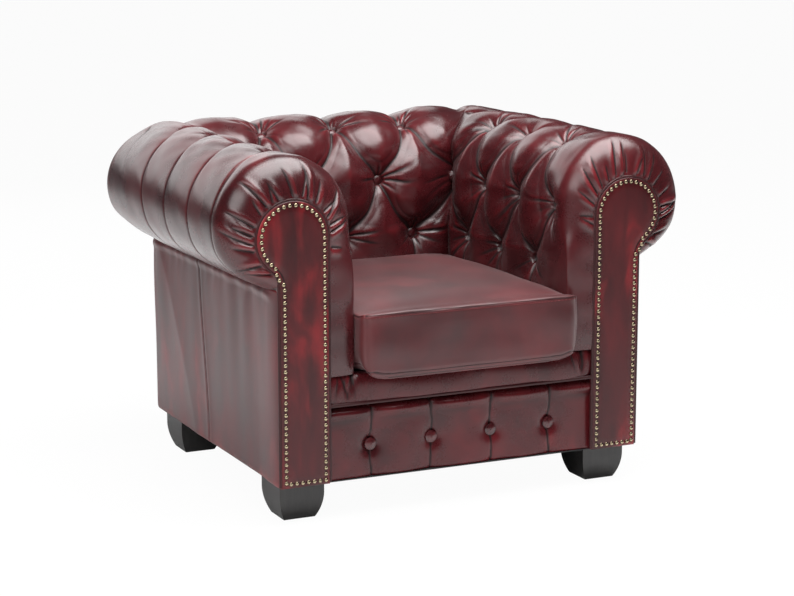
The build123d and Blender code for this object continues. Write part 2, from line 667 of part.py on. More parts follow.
def make_uppers():
    """Make the posts, the rails, boards and battens above the base, and the foam rolls."""
    post_x = (POST_X - POST_SIZE / 2, POST_X + POST_SIZE / 2)
    post_y = (POST_Y - POST_SIZE / 2, POST_Y + POST_SIZE / 2)
    save_pair("back_post", block(post_x, post_y, (FRAME_Z + BLOCK_HEIGHT, TOP_RAIL_Z)))

    rail_z = (TOP_RAIL_Z, TOP_RAIL_Z + TOP_RAIL_HEIGHT)
    arm_rail = block(post_x, (FRAME_FRONT_Y, post_y[0] - FIT_GAP), rail_z)
    back_rail = block((-post_x[1], post_x[1]), post_y, rail_z)
    save_pair("arm_top_rail", arm_rail)
    save("back_top_rail", back_rail)
    make_roll_cores([arm_rail, mirror(arm_rail, about=Plane.YZ), back_rail])

    board_x = (FACING_INNER_X, FACING_INNER_X + BOARD_THICKNESS)
    board_y = (CORE_INNER_Y, CORE_INNER_Y + BOARD_THICKNESS)
    board_z = (COVER_Z, TOP_RAIL_Z)
    save_pair("arm_inner_board", block(board_x, (FRAME_FRONT_Y, CORE_INNER_Y - FIT_GAP), board_z))
    save("back_inner_board", block((-board_x[1], board_x[1]), board_y, board_z))

    tack_z = (TACK_RAIL_Z, TACK_RAIL_Z + TACK_RAIL_HEIGHT)
    tack_x = (board_x[1], post_x[0] - FIT_GAP)
    tack_y = (board_y[1], post_y[0] - FIT_GAP)
    save_pair("arm_tack_rail", block(tack_x, (FRAME_FRONT_Y, tack_y[0] - FIT_GAP), tack_z))
    save("back_tack_rail", block((-post_x[1], post_x[1]), tack_y, tack_z))

    batten_z = (SEAM_Z - BATTEN_HEIGHT, SEAM_Z)
    save_pair("arm_batten", block((INNER_RAIL_X, FRAME_X), (FRAME_FRONT_Y, FRAME_Y), batten_z))
    batten_x = (FIT_GAP - INNER_RAIL_X, INNER_RAIL_X - FIT_GAP)
    save("back_batten", block(batten_x, (INNER_RAIL_Y, FRAME_Y), batten_z))


def make_panels():
    """Make the outside panels of the arms and the back."""
    height = (FRAME_Z, SEAM_Z - FIT_GAP)
    outer = (PANEL_X - PANEL_THICKNESS, PANEL_X)
    save_pair("outside_arm", block(outer, (BOARD_BACK_Y, PANEL_Y), height))
    half = PANEL_X - PANEL_THICKNESS - FIT_GAP
    save("outside_back", block((-half, half), (PANEL_Y - PANEL_THICKNESS, PANEL_Y), height))


def spring(front, rear):
    """Make one flat zigzag seat spring that runs from front to rear."""
    half = (SPRING_WIDTH - SPRING_WIRE) / 2
    rungs = round((rear - front) / SPRING_PITCH)
    step = (rear - front) / rungs
    points = []
    for index in range(rungs + 1):
        side = half if index % 2 else -half
        points += [(side, front + index * step), (-side, front + index * step)]
    path = FilletPolyline(*points, radius=SPRING_BEND)
    return extrude(Pos(0, 0, SPRING_Z) * trace(path, SPRING_WIRE), SPRING_WIRE)


def clip(side):
    """Make one clip that hooks over the end of a spring, closed towards one end of the chair."""
    height = SPRING_WIRE + 2 * CLIP_PLATE + FIT_GAP
    align = (Align.CENTER, Align.CENTER, Align.MIN)
    body = Pos(0, 0, RAIL_TOP_Z) * Box(CLIP_WIDTH, CLIP_DEPTH, height, align=align)
    slot = Box(CLIP_WIDTH, CLIP_DEPTH, SPRING_WIRE + FIT_GAP, align=align)
    inset = (CLIP_DEPTH - SPRING_WIRE) / 2 - FIT_GAP
    return body - Pos(0, -side * inset, SPRING_Z) * slot


def make_suspension():
    """Make the seat springs, their clips, the felt over them and the deck pad."""
    front = FRAME_FRONT_Y + RAIL_THICKNESS / 2
    rear = FRAME_Y - RAIL_THICKNESS / 2
    wire = spring(front, rear)
    step = SPRING_SPREAD / (SPRING_COUNT - 1)
    places = [index * step - SPRING_SPREAD / 2 for index in range(SPRING_COUNT)]
    save("seat_springs", Compound(children=[Pos(x, 0, 0) * wire for x in places]))
    clips = []
    for x in places:
        clips += [Pos(x, front, 0) * clip(-1), Pos(x, rear, 0) * clip(1)]
    save("spring_clips", Compound(children=clips))

    half = FACING_INNER_X - FIT_GAP
    inner_y = CORE_INNER_Y - FIT_GAP
    save("deck_felt", block((FELT_INSET - half, half - FELT_INSET),
                            (FRAME_FRONT_Y + FELT_INSET, inner_y), (FELT_Z, FELT_Z + FELT_THICKNESS)))
    save("deck_pad", block((-half, half), (FRAME_FRONT_Y, inner_y), (PAD_Z, DECK_Z)))


make_feet()
make_base()
make_uppers()
make_panels()
make_suspension()
make_facings()
make_apron()
make_covers()
make_cushion()
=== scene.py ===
"""Rolled-arm tufted leather armchair: its upholstery, its finishes and a plain studio."""

import logging
import math
from collections.abc import Callable
from dataclasses import dataclass
from enum import Enum

import bmesh
import bpy
import numpy as np
from mathutils import Matrix, Vector


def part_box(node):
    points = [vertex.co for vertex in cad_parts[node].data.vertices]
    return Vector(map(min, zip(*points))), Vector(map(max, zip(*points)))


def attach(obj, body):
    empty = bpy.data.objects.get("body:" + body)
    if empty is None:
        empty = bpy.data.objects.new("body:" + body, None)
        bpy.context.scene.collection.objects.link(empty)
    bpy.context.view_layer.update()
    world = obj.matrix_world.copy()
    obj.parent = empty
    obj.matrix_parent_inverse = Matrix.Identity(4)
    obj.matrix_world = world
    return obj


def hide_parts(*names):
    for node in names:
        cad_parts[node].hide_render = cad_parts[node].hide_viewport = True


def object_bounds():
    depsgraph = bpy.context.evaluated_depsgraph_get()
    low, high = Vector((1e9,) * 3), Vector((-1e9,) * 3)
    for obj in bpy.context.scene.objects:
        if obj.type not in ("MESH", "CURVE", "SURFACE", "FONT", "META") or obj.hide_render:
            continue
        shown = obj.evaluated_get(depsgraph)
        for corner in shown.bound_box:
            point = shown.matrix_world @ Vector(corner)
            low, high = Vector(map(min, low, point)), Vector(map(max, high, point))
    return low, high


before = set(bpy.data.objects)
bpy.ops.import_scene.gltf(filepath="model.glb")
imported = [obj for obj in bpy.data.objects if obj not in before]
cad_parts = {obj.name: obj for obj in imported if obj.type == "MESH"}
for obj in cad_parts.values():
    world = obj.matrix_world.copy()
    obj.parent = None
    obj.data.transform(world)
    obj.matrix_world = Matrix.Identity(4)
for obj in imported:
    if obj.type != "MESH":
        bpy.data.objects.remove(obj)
CAD_BOX = [list(corner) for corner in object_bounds()]
LOG = logging.getLogger("armchair")
Array = np.ndarray
Colour = Triple = tuple[float, float, float]
Place = Callable[[Array, Array], Array]
Shape = Callable[[Array, Array], tuple[Array, Array, Array]]
Walk = list[tuple[Vector, Vector]]

# Curvature per metre that counts as fully rubbed: on the pads, on the seat's front, and on firm flat pieces
PAD_RIDGE, FRONT_RIDGE, FIRM_RIDGE = 95.0, 260.0, 420.0


class Side(Enum):
    """Which arm a piece belongs to, as the sign of x."""

    LEFT = -1
    RIGHT = 1

    @property
    def word(self) -> str:
        """Name of the side as it stands in the node names."""
        return self.name.lower()


class Slot(Enum):
    """Material slots of the record."""

    TUFTED = "tufted_leather"
    PANEL = "panel_leather"
    CUSHION = "cushion_leather"
    BUTTON = "button_leather"
    NAIL = "nail_brass"
    FOOT = "foot_wood"
    WOOD = "frame_wood"
    FOAM = "foam"
    STEEL = "steel"
    FELT = "felt"
    DUST = "dust_cloth"
    ZIP = "zip_tape"


def smooth(low: float, high: float, x: Array) -> Array:
    """Ease x from 0 at low to 1 at high."""
    f = np.clip((x - low) / (high - low), 0.0, 1.0)
    return f * f * (3.0 - 2.0 * f)


def bell(x: Array, width: float | Array) -> Array:
    """Hump of height 1 that falls off over the width to both sides."""
    return np.exp(-((x / width) ** 2))


def fade(x: Array, length: float) -> Array:
    """Fall from 1 at 0, to about a third at the length."""
    return np.exp(-x / length)


def ripple(x: Array, y: Array, wave: float, seed: int, count: int = 7) -> Array:
    """Sum a few crossing waves into an uneven surface between about -1 and 1.

    Args:
        x: First coordinate in metres.
        y: Second coordinate in metres.
        wave: Typical wavelength in metres.
        seed: Seed that picks the waves.
        count: Number of waves.

    Returns:
        The height at each point.
    """
    rng = np.random.default_rng(seed)
    total = np.zeros_like(x)
    for _ in range(count):
        turn, phase = rng.uniform(0.0, 2.0 * math.pi, 2)
        pace = 2.0 * math.pi / (wave * rng.uniform(0.7, 1.6))
        total += np.sin(pace * (math.cos(turn) * x + math.sin(turn) * y) + phase)
    return total / math.sqrt(2.0 * count)


class Value:
    """A shader socket that takes part in Python arithmetic."""

    def __init__(self, graph: "Graph", socket: bpy.types.NodeSocket | None) -> None:
        """Keep the socket and its graph."""
        self.graph, self.socket = graph, socket

    def _math(self, operation: str, first: object, second: object) -> "Value":
        """Add one Math node."""
        return self.graph.add("ShaderNodeMath", {"operation": operation}, {0: first, 1: second})

    def __add__(self, other: object) -> "Value":
        """Sum."""
        return self._math("ADD", self, other)

    def __radd__(self, other: object) -> "Value":
        """Reflected sum."""
        return self._math("ADD", other, self)

    def __sub__(self, other: object) -> "Value":
        """Difference."""
        return self._math("SUBTRACT", self, other)

    def __rsub__(self, other: object) -> "Value":
        """Reflected difference."""
        return self._math("SUBTRACT", other, self)

    def __mul__(self, other: object) -> "Value":
        """Product."""
        return self._math("MULTIPLY", self, other)

    def step(self, low: float, high: float) -> "Value":
        """Ease this value from 0 at low to 1 at high."""
        return self.graph.add("ShaderNodeMapRange", {"interpolation_type": "SMOOTHSTEP", "clamp": True},
                              {0: self, 1: low, 2: high})


class Graph:
    """A node tree that is built from expressions."""

    def __init__(self, tree: bpy.types.NodeTree) -> None:
        """Start from an empty tree."""
        self.tree = tree
        tree.nodes.clear()

    def add(self, kind: str, settings: dict[str, object], inputs: dict[int | str, object],
            output: int | str = 0) -> Value:
        """Add a node.

        Args:
            kind: Blender's name of the node type.
            settings: Properties of the node, set first.
            inputs: Values or links of its sockets, by name or index.
            output: Name or index of the socket to hand back.

        Returns:
            The chosen output socket.
        """
        node = self.tree.nodes.new(kind)
        for key, value in settings.items():
            setattr(node, key, value)
        for key, value in inputs.items():
            if isinstance(value, Value):
                self.tree.links.new(value.socket, node.inputs[key])
            else:
                node.inputs[key].default_value = value
        return Value(self, node.outputs[output] if node.outputs else None)

    def spot(self, scale: Triple = (1.0, 1.0, 1.0)) -> Value:
        """Object coordinates, stretched."""
        where = self.add("ShaderNodeTexCoord", {}, {}, "Object")
        return self.add("ShaderNodeMapping", {}, {"Vector": where, "Scale": scale})

    def noise(self, where: Value, scale: float, detail: float = 3.0, rough: float = 0.55,
              warp: float = 0.0) -> Value:
        """Fractal noise of the given scale per metre."""
        return self.add("ShaderNodeTexNoise", {}, {"Vector": where, "Scale": scale, "Detail": detail,
                                                   "Roughness": rough, "Distortion": warp})

    def cells(self, where: Value, scale: float) -> Value:
        """Distance inside the pebbles of a cell pattern."""
        return self.add("ShaderNodeTexVoronoi", {"feature": "SMOOTH_F1"},
                        {"Vector": where, "Scale": scale, "Smoothness": 0.35}, "Distance")

    def mix(self, share: object, first: object, second: object) -> Value:
        """Mix two colours."""
        pair = [(*c, 1.0) if isinstance(c, tuple) else c for c in (first, second)]
        return self.add("ShaderNodeMix", {"data_type": "RGBA"}, {0: share, 6: pair[0], 7: pair[1]}, 2)

    def bump(self, height: Value, distance: float, strength: float, under: Value | None = None) -> Value:
        """Turn a height into a normal.

        Args:
            height: Height to follow.
            distance: Depth of the height in metres.
            strength: How much of it shows.
            under: Normal of a broader bump to lay it over, or None.

        Returns:
            The normal.
        """
        links = {"Height": height, "Distance": distance, "Strength": strength}
        if under is not None:
            links["Normal"] = under
        return self.add("ShaderNodeBump", {}, links)

    def mark(self, name: str) -> Value:
        """A number that the mesh carries at each vertex."""
        return self.add("ShaderNodeAttribute", {"attribute_name": name}, {}, "Fac")

    def seen(self) -> Value:
        """1 for the rays that show the ground and the background."""
        path = self.add("ShaderNodeLightPath", {}, {}, "Is Camera Ray")
        return path + Value(self, path.socket.node.outputs["Is Transmission Ray"])

    def surface(self, **sockets: object) -> None:
        """Finish a material with a Principled shader.

        Args:
            sockets: Values or links of its sockets, with underscores for the spaces in their names.
        """
        named = {key.replace("_", " "): value for key, value in sockets.items()}
        shader = self.add("ShaderNodeBsdfPrincipled", {}, named)
        self.add("ShaderNodeOutputMaterial", {}, {"Surface": shader})


@dataclass(frozen=True)
class Finish:
    """A named surface; each kind fills the nodes of its own material."""

    name: str

    def fill(self, g: Graph) -> None:
        """Build the nodes in an empty graph."""
        raise NotImplementedError(self.name)

    def material(self) -> bpy.types.Material:
        """Make the material.

        Returns:
            The material with its nodes.
        """
        made = bpy.data.materials.new(self.name)
        made.use_nodes = True
        self.fill(Graph(made.node_tree))
        return made


@dataclass(frozen=True)
class LeatherFinish(Finish):
    """Hand-rubbed oxblood leather: dark glaze, red where it is rubbed, with near-black painted shade in the folds."""

    deep: Colour = (0.026, 0.0030, 0.0042)
    body: Colour = (0.080, 0.0068, 0.0094)
    worn: Colour = (0.220, 0.0160, 0.0210)
    # crease: near-black colour painted into the folds as shade
    crease: Colour = (0.012, 0.0012, 0.0016)
    stretch: Colour = (1.0, 1.0, 1.0)
    blotch: float = 6.0
    rubbed: float = 0.75
    bare_from: float = 0.60
    gloss: float = 0.28
    vary: float = 0.3
    shine: float = 0.5
    coat: float = 0.32
    coat_rough: float = 0.24
    sheen: float = 0.03
    grain: float = 0.30
    pores: float = 240.0
    pebbles: float = 760.0

    def fill(self, g: Graph) -> None:
        """Build the leather's nodes.

        Args:
            g: Graph to fill.
        """
        where, drawn = g.spot(), g.spot(self.stretch)
        broad = g.noise(drawn, self.blotch, 3.0, 0.5, 0.5).step(0.26, 0.74)
        cloud = g.noise(drawn, self.blotch * 2.7, 3.0, 0.5, 0.3).step(0.24, 0.78)
        patch = g.noise(drawn, self.blotch * 0.8, 3.0, 0.5, 0.9).step(self.bare_from, self.bare_from + 0.22)
        fine = g.noise(where, self.pores, 3.0, 0.6)
        rub, fold = g.mark("rub"), g.mark("fold")
        glaze = g.mix(broad * 0.62 + cloud * 0.38, self.deep, self.body)
        bared = (rub * 0.80 + patch * 0.70) * (0.35 + cloud * 0.65) * self.rubbed
        colour = g.mix(bared.step(0.0, 1.0), glaze, self.worn)
        # Painted shade: the folds take the near-black crease colour in place of the shadow that falls in them
        colour = g.mix(fold.step(0.06, 0.95), colour, self.crease)
        uneven = (broad * 0.55 + cloud * 0.45 - 0.5) * 0.30 * self.vary
        rough = self.gloss + uneven + (fine - 0.5) * 0.05 + fold * 0.25
        skin = g.bump(g.noise(where, 24.0, 2.0, 0.5, 0.3), 0.0030, 0.14 * self.vary)
        pebble = g.cells(where, self.pebbles) * 0.7 + fine * 0.5
        normal = g.bump(pebble, 0.0006, self.grain, skin)
        g.surface(Base_Color=colour, Roughness=rough, Normal=normal, Specular_IOR_Level=self.shine,
                  Coat_Weight=(1.0 - fold) * self.coat, Coat_Roughness=self.coat_rough,
                  Sheen_Weight=self.sheen, Sheen_Roughness=0.4)


@dataclass(frozen=True)
class BrassFinish(Finish):
    """Antique brass of the facing nails: darker where tarnished, with a painted highlight on the forward-facing crown
    and painted shade in the rims.
    """

    bright: Colour = (0.46, 0.38, 0.25)
    tarnish_and_rim_shade: Colour = (0.060, 0.043, 0.030)

    def fill(self, g: Graph) -> None:
        """Build the brass nodes.

        Args:
            g: Graph to fill.
        """
        where = g.spot()
        age = g.noise(where, 210.0, 3.0, 0.6).step(0.42, 0.72)
        fine = g.noise(where, 1500.0, 2.0)
        # Painted highlight and shade: the part of each head that faces forward takes the bright brass, and the rims
        # take the tarnish colour
        facing = g.add("ShaderNodeTexCoord", {}, {}, "Normal")
        crown = (g.add("ShaderNodeSeparateXYZ", {}, {0: facing}, "Y") * -1.0).step(0.55, 0.92)
        g.surface(Base_Color=g.mix(crown * (1.0 - age * 0.6), self.tarnish_and_rim_shade, self.bright), Metallic=1.0,
                  Roughness=0.20 + age * 0.20 + (fine - 0.5) * 0.1,
                  Normal=g.bump(fine, 0.0002, 0.25))


@dataclass(frozen=True)
class TimberFinish(Finish):
    """Wood with long grain, stained or painted."""

    light: Colour
    dark: Colour
    rough: float
    along: Colour = (1.0, 1.0, 0.12)
    coat: float = 0.0

    def fill(self, g: Graph) -> None:
        """Build the wood nodes.

        Args:
            g: Graph to fill.
        """
        grain = g.noise(g.spot(self.along), 140.0, 5.0, 0.65, 0.6)
        pores = g.noise(g.spot(self.along), 620.0, 2.0, 0.5)
        g.surface(Base_Color=g.mix(grain.step(0.3, 0.72), self.dark, self.light),
                  Roughness=self.rough + (grain - 0.5) * 0.12, Coat_Weight=self.coat, Coat_Roughness=0.3,
                  Normal=g.bump(grain * 0.6 + pores * 0.4, 0.0006, 0.22))


@dataclass(frozen=True)
class ClothFinish(Finish):
    """Woven or felted cloth, foam and tape: two shades and a fine height."""

    light: Colour
    dark: Colour
    thread: float
    rough: float = 0.9
    woven: bool = True

    def fill(self, g: Graph) -> None:
        """Build the cloth nodes.

        Args:
            g: Graph to fill.
        """
        where = g.spot()
        if self.woven:
            bands = [g.add("ShaderNodeTexWave", {"wave_type": "BANDS", "bands_direction": axis},
                           {"Vector": where, "Scale": self.thread, "Distortion": 0.6, "Detail": 1.0}, "Fac")
                     for axis in ("X", "Y")]
            height = bands[0] * 0.5 + bands[1] * 0.5
        else:
            height = g.noise(where, self.thread, 4.0, 0.7)
        shade = height * 0.6 + g.noise(where, 30.0, 3.0) * 0.4
        g.surface(Base_Color=g.mix(shade.step(0.25, 0.75), self.dark, self.light),
                  Roughness=self.rough + (height - 0.5) * 0.08, Normal=g.bump(height, 0.0006, 0.5))


@dataclass(frozen=True)
class SteelFinish(Finish):
    """Plain steel of springs and screws."""

    bright: Colour = (0.42, 0.42, 0.43)
    dull: Colour = (0.22, 0.22, 0.23)

    def fill(self, g: Graph) -> None:
        """Build the steel nodes.

        Args:
            g: Graph to fill.
        """
        stain = g.noise(g.spot(), 90.0, 4.0, 0.6)
        g.surface(Base_Color=g.mix(stain.step(0.35, 0.7), self.bright, self.dull), Metallic=1.0,
                  Roughness=0.34 + stain * 0.2, Normal=g.bump(stain, 0.0002, 0.2))


@dataclass(frozen=True)
class FloorFinish(Finish):
    """Pale ground that shows as white and still takes a soft shadow."""

    matt: Colour = (0.86, 0.86, 0.86)
    glow: float = 0.96

    def fill(self, g: Graph) -> None:
        """Build the ground's nodes.

        Args:
            g: Graph to fill.
        """
        matt = g.add("ShaderNodeBsdfDiffuse", {}, {"Color": (*self.matt, 1.0)})
        glow = g.add("ShaderNodeEmission", {}, {"Color": (1.0, 1.0, 1.0, 1.0), "Strength": 1.0})
        both = g.add("ShaderNodeMixShader", {}, {0: g.seen() * self.glow, 1: matt, 2: glow})
        g.add("ShaderNodeOutputMaterial", {}, {"Surface": both})


FINISHES: dict[Slot, Finish] = {
    Slot.TUFTED: LeatherFinish("tufted_leather_skin"),
    Slot.PANEL: LeatherFinish("panel_leather_skin", deep=(0.036, 0.0038, 0.0055), body=(0.122, 0.0084, 0.0118),
                              worn=(0.250, 0.0160, 0.0210), stretch=(1.0, 1.0, 0.5), blotch=8.0, bare_from=0.50,
                              gloss=0.38, vary=0.2, shine=0.48, coat=0.06, sheen=0.08, grain=0.12),
    Slot.CUSHION: LeatherFinish("cushion_leather_skin", deep=(0.030, 0.0030, 0.0042), body=(0.100, 0.0072, 0.0098),
                                worn=(0.240, 0.0140, 0.0190), blotch=5.5, bare_from=0.56, gloss=0.42, coat=0.16,
                                coat_rough=0.40, sheen=0.27),
    Slot.BUTTON: LeatherFinish("button_leather_skin", blotch=26.0, rubbed=0.55),
    Slot.NAIL: BrassFinish("antique_brass"),
    Slot.FOOT: TimberFinish("black_foot_lacquer", (0.020, 0.018, 0.017), (0.009, 0.008, 0.008), 0.40, coat=0.15),
    Slot.WOOD: TimberFinish("frame_beech", (0.56, 0.38, 0.22), (0.40, 0.25, 0.13), 0.6),
    Slot.FOAM: ClothFinish("cream_foam", (0.74, 0.66, 0.46), (0.62, 0.54, 0.35), 900.0, woven=False),
    Slot.STEEL: SteelFinish("spring_steel"),
    Slot.FELT: ClothFinish("grey_felt", (0.24, 0.23, 0.22), (0.13, 0.13, 0.13), 700.0, woven=False),
    Slot.DUST: ClothFinish("black_dust_cloth", (0.035, 0.035, 0.036), (0.014, 0.014, 0.015), 160.0),
    Slot.ZIP: ClothFinish("zip_tape_weave", (0.07, 0.018, 0.02), (0.03, 0.008, 0.01), 260.0),
}
PIPING = LeatherFinish("piping_leather_skin", deep=(0.020, 0.0022, 0.0030), body=(0.045, 0.0045, 0.0060),
                       rubbed=0.25, gloss=0.45, shine=0.35, coat=0.0)
FRONT = LeatherFinish("front_leather_skin", deep=(0.030, 0.0032, 0.0046), body=(0.096, 0.0070, 0.0098),
                      worn=(0.220, 0.0140, 0.0190), blotch=7.0, bare_from=0.54, vary=0.2, shine=0.36,
                      coat=0.05, grain=0.14)
FACING = LeatherFinish("facing_leather_skin", deep=(0.020, 0.0022, 0.0032), body=(0.090, 0.0062, 0.0085),
                       worn=(0.290, 0.0130, 0.0180), stretch=(1.0, 1.0, 0.30), blotch=12.0, bare_from=0.46,
                       rubbed=0.95, gloss=0.40, vary=0.2, shine=0.36, coat=0.05, grain=0.14)
THREAD = ClothFinish("seam_thread", (0.30, 0.085, 0.09), (0.16, 0.03, 0.035), 900.0, woven=False)


@dataclass(frozen=True)
class ChairPlan:
    """Main places of the chair in metres, read from the frame."""

    roll_radius: float
    roll_x: float
    roll_y: float
    roll_z: float
    front_y: float
    inner_x: float
    outer_x: float
    head_x: float
    head_z: float
    head_radius: float
    base_z: float
    panel_x: float
    seam_z: float
    deck_z: float
    neck_radius: float = 0.035

    @classmethod
    def read(cls) -> "ChairPlan":
        """Take the places from the boxes of the CAD nodes.

        Returns:
            The plan of this chair.
        """
        high = Vector(CAD_BOX[1])
        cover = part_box("arm_cover_right")[0]
        facing_low, facing_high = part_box("arm_facing_right")
        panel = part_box("outside_arm_right")[1]
        radius = round((high.x - cover.x) / 2.0, 4)
        head = (facing_high.x - facing_low.x) / 2.0
        return cls(
            roll_radius=radius, roll_x=cover.x + radius, roll_y=high.y - radius, roll_z=high.z - radius,
            front_y=facing_low.y, inner_x=facing_low.x, outer_x=panel.x - 0.001,
            head_x=facing_low.x + head, head_z=facing_high.z - head, head_radius=head, base_z=facing_low.z,
            panel_x=panel.x, seam_z=panel.z, deck_z=cover.z,
        )

    def scroll(self, grow: float, lift: float = 0.0) -> list[tuple[float, float]]:
        """Outline of the scroll-shaped arm front.

        Args:
            grow: How far the outline stands outside the facing's edge.
            lift: How far its foot stands above the facing's own.

        Returns:
            Points (x, z) for the right arm, from the inner foot round the head to the outer foot.
        """
        up, arc, bend, down = 16, 40, 10, 14
        foot = self.base_z + lift
        turn, centre_z = self.neck()
        head, hollow = self.head_radius + grow, self.neck_radius - grow
        walk = [(self.inner_x - grow, foot + (self.head_z - foot) * k / up) for k in range(up)]
        for k in range(arc + 1):
            angle = math.pi + (turn - math.pi) * k / arc
            walk.append((self.head_x + head * math.cos(angle), self.head_z + head * math.sin(angle)))
        for k in range(1, bend + 1):
            angle = turn + math.pi - turn * k / bend
            walk.append((self.outer_x + self.neck_radius + hollow * math.cos(angle),
                         centre_z + hollow * math.sin(angle)))
        last = walk[-1][1]
        return walk + [(self.outer_x + grow, last + (foot - last) * k / down) for k in range(1, down + 1)]

    def neck(self) -> tuple[float, float]:
        """Find where the head runs into the neck.

        Returns:
            Angle where the head's arc ends, and height of the neck's centre.
        """
        reach = self.head_radius + self.neck_radius
        across = self.outer_x + self.neck_radius - self.head_x
        return -math.acos(across / reach), self.head_z - math.sqrt(reach**2 - across**2)


PLAN = ChairPlan.read()


def read_points(mesh: bpy.types.Mesh, normals: bool = False) -> Array:
    """Read the vertices of a mesh.

    Args:
        mesh: Mesh to read.
        normals: True for their normals instead of their places.

    Returns:
        One row of x, y, z per vertex.
    """
    flat = np.empty(len(mesh.vertices) * 3, np.float64)
    if normals:
        mesh.vertex_normals.foreach_get("vector", flat)
    else:
        mesh.vertices.foreach_get("co", flat)
    return flat.reshape(-1, 3)


def write_points(mesh: bpy.types.Mesh, points: Array) -> None:
    """Put the vertices of a mesh at new places."""
    mesh.vertices.foreach_set("co", points.astype(np.float32).ravel())
    mesh.update()


def mark_wear_and_shade(mesh: bpy.types.Mesh, ridge: float = PAD_RIDGE, hollow: float = 85.0) -> None:
    """Store where a skin stands out and gets rubbed, and where it folds in and takes painted shade.

    Args:
        mesh: Mesh to mark with the attributes "rub" and "fold".
        ridge: Curvature per metre that counts as fully rubbed.
        hollow: Curvature per metre that counts as fully folded.
    """
    points, normals = read_points(mesh), read_points(mesh, normals=True)
    count = len(points)
    ends = np.empty(len(mesh.edges) * 2, np.int32)
    mesh.edges.foreach_get("vertices", ends)
    one, two = ends[0::2], ends[1::2]
    degree = np.maximum(np.bincount(one, minlength=count) + np.bincount(two, minlength=count), 1)

    def around(values: Array) -> Array:
        """Mean of each vertex's neighbours."""
        return (np.bincount(one, values[two], count) + np.bincount(two, values[one], count)) / degree

    def calmed(values: Array) -> Array:
        """Values after two passes of smoothing."""
        for _ in range(2):
            values = 0.5 * values + 0.5 * around(values)
        return values

    mean = np.stack([around(points[:, axis]) for axis in range(3)], 1)
    length2 = ((points[one] - points[two]) ** 2).sum(1)
    span = (np.bincount(one, length2, count) + np.bincount(two, length2, count)) / degree
    bend = calmed(-((mean - points) * normals).sum(1) / np.maximum(span, 1e-9) * 4.0)
    rub, fold = np.clip(bend / ridge, 0.0, 1.0), np.clip(-bend / hollow, 0.0, 1.0)
    # rub marks wear on the ridges; fold marks the hollows that the leather paints with near-black shade
    for name, values in (("rub", calmed(rub)), ("fold", fold)):
        layer = mesh.attributes.new(name, "FLOAT", "POINT")
        layer.data.foreach_set("value", values.astype(np.float32))


def link(name: str, data: bpy.types.ID) -> bpy.types.Object:
    """Put a mesh, a curve, a lamp or a camera in the scene.

    Args:
        name: Name of the object.
        data: What it shows.

    Returns:
        The object, at the origin.
    """
    made = bpy.data.objects.new(name, data)
    bpy.context.scene.collection.objects.link(made)
    return made


def from_bmesh(name: str, bm: bmesh.types.BMesh) -> bpy.types.Object:
    """Turn a bmesh into an object and free it.

    Args:
        name: Name of the piece.
        bm: The bmesh.

    Returns:
        The smooth-shaded object.
    """
    mesh = bpy.data.meshes.new(name)
    bm.to_mesh(mesh)
    bm.free()
    mesh.shade_smooth()
    return link(name, mesh)


def relax(bm: bmesh.types.BMesh, verts: list[bmesh.types.BMVert], passes: int) -> None:
    """Smooth some vertices a number of times."""
    for _ in range(passes):
        bmesh.ops.smooth_vert(bm, verts=verts, factor=0.5, use_axis_x=True, use_axis_y=True, use_axis_z=True)


def sheet(name: str, columns: int, rows: int, place: Place, flip: bool = False,
          ridge: float = PAD_RIDGE) -> bpy.types.Object:
    """Make a padded skin from a grid.

    Args:
        name: Name of the piece.
        columns: Cells along the length.
        rows: Cells along the profile.
        place: Function that gives the points for the two grid coordinates from 0 to 1.
        flip: True to turn the faces round.
        ridge: Curvature per metre that counts as fully rubbed.

    Returns:
        The object, marked for wear and for painted shade in its folds.
    """
    bm = bmesh.new()
    bmesh.ops.create_grid(bm, x_segments=columns, y_segments=rows, size=1.0)
    if flip:
        bmesh.ops.reverse_faces(bm, faces=bm.faces[:])
    made = from_bmesh(name, bm)
    flat = read_points(made.data)
    write_points(made.data, place((flat[:, 0] + 1.0) / 2.0, (flat[:, 1] + 1.0) / 2.0))
    mark_wear_and_shade(made.data, ridge)
    return made


def framed(name: str, grid: tuple[int, int], shape: Shape, axis: int, back: float, flip: bool = False,
           ridge: float = PAD_RIDGE) -> bpy.types.Object:
    """Make a padded skin whose outermost ring turns back round its edge.

    Args:
        name: Name of the piece.
        grid: Cells along both coordinates.
        shape: Function that gives x, y and z for the two coordinates inside the ring, from 0 to 1.
        axis: 0, 1 or 2 for the way that the ring turns back, x, y or z.
        back: Where the ring ends along that axis.
        flip: True to turn the faces round.
        ridge: Curvature per metre that counts as fully rubbed.

    Returns:
        The object, marked for wear.
    """
    across, up = 1.0 / grid[0], 1.0 / grid[1]

    def place(sigma: Array, tau: Array) -> Array:
        """Points of the skin and its ring.

        Args:
            sigma: First grid coordinate.
            tau: Second grid coordinate.

        Returns:
            One row of x, y, z per point.
        """
        ring = (sigma < across / 2) | (sigma > 1 - across / 2) | (tau < up / 2) | (tau > 1 - up / 2)
        inside = [np.clip((share - cell) / (1 - 2 * cell), 0.0, 1.0) for share, cell in ((sigma, across), (tau, up))]
        spots = list(shape(*inside))
        spots[axis] = np.where(ring, back, spots[axis])
        return np.stack(spots, 1)

    return sheet(name, *grid, place, flip, ridge)


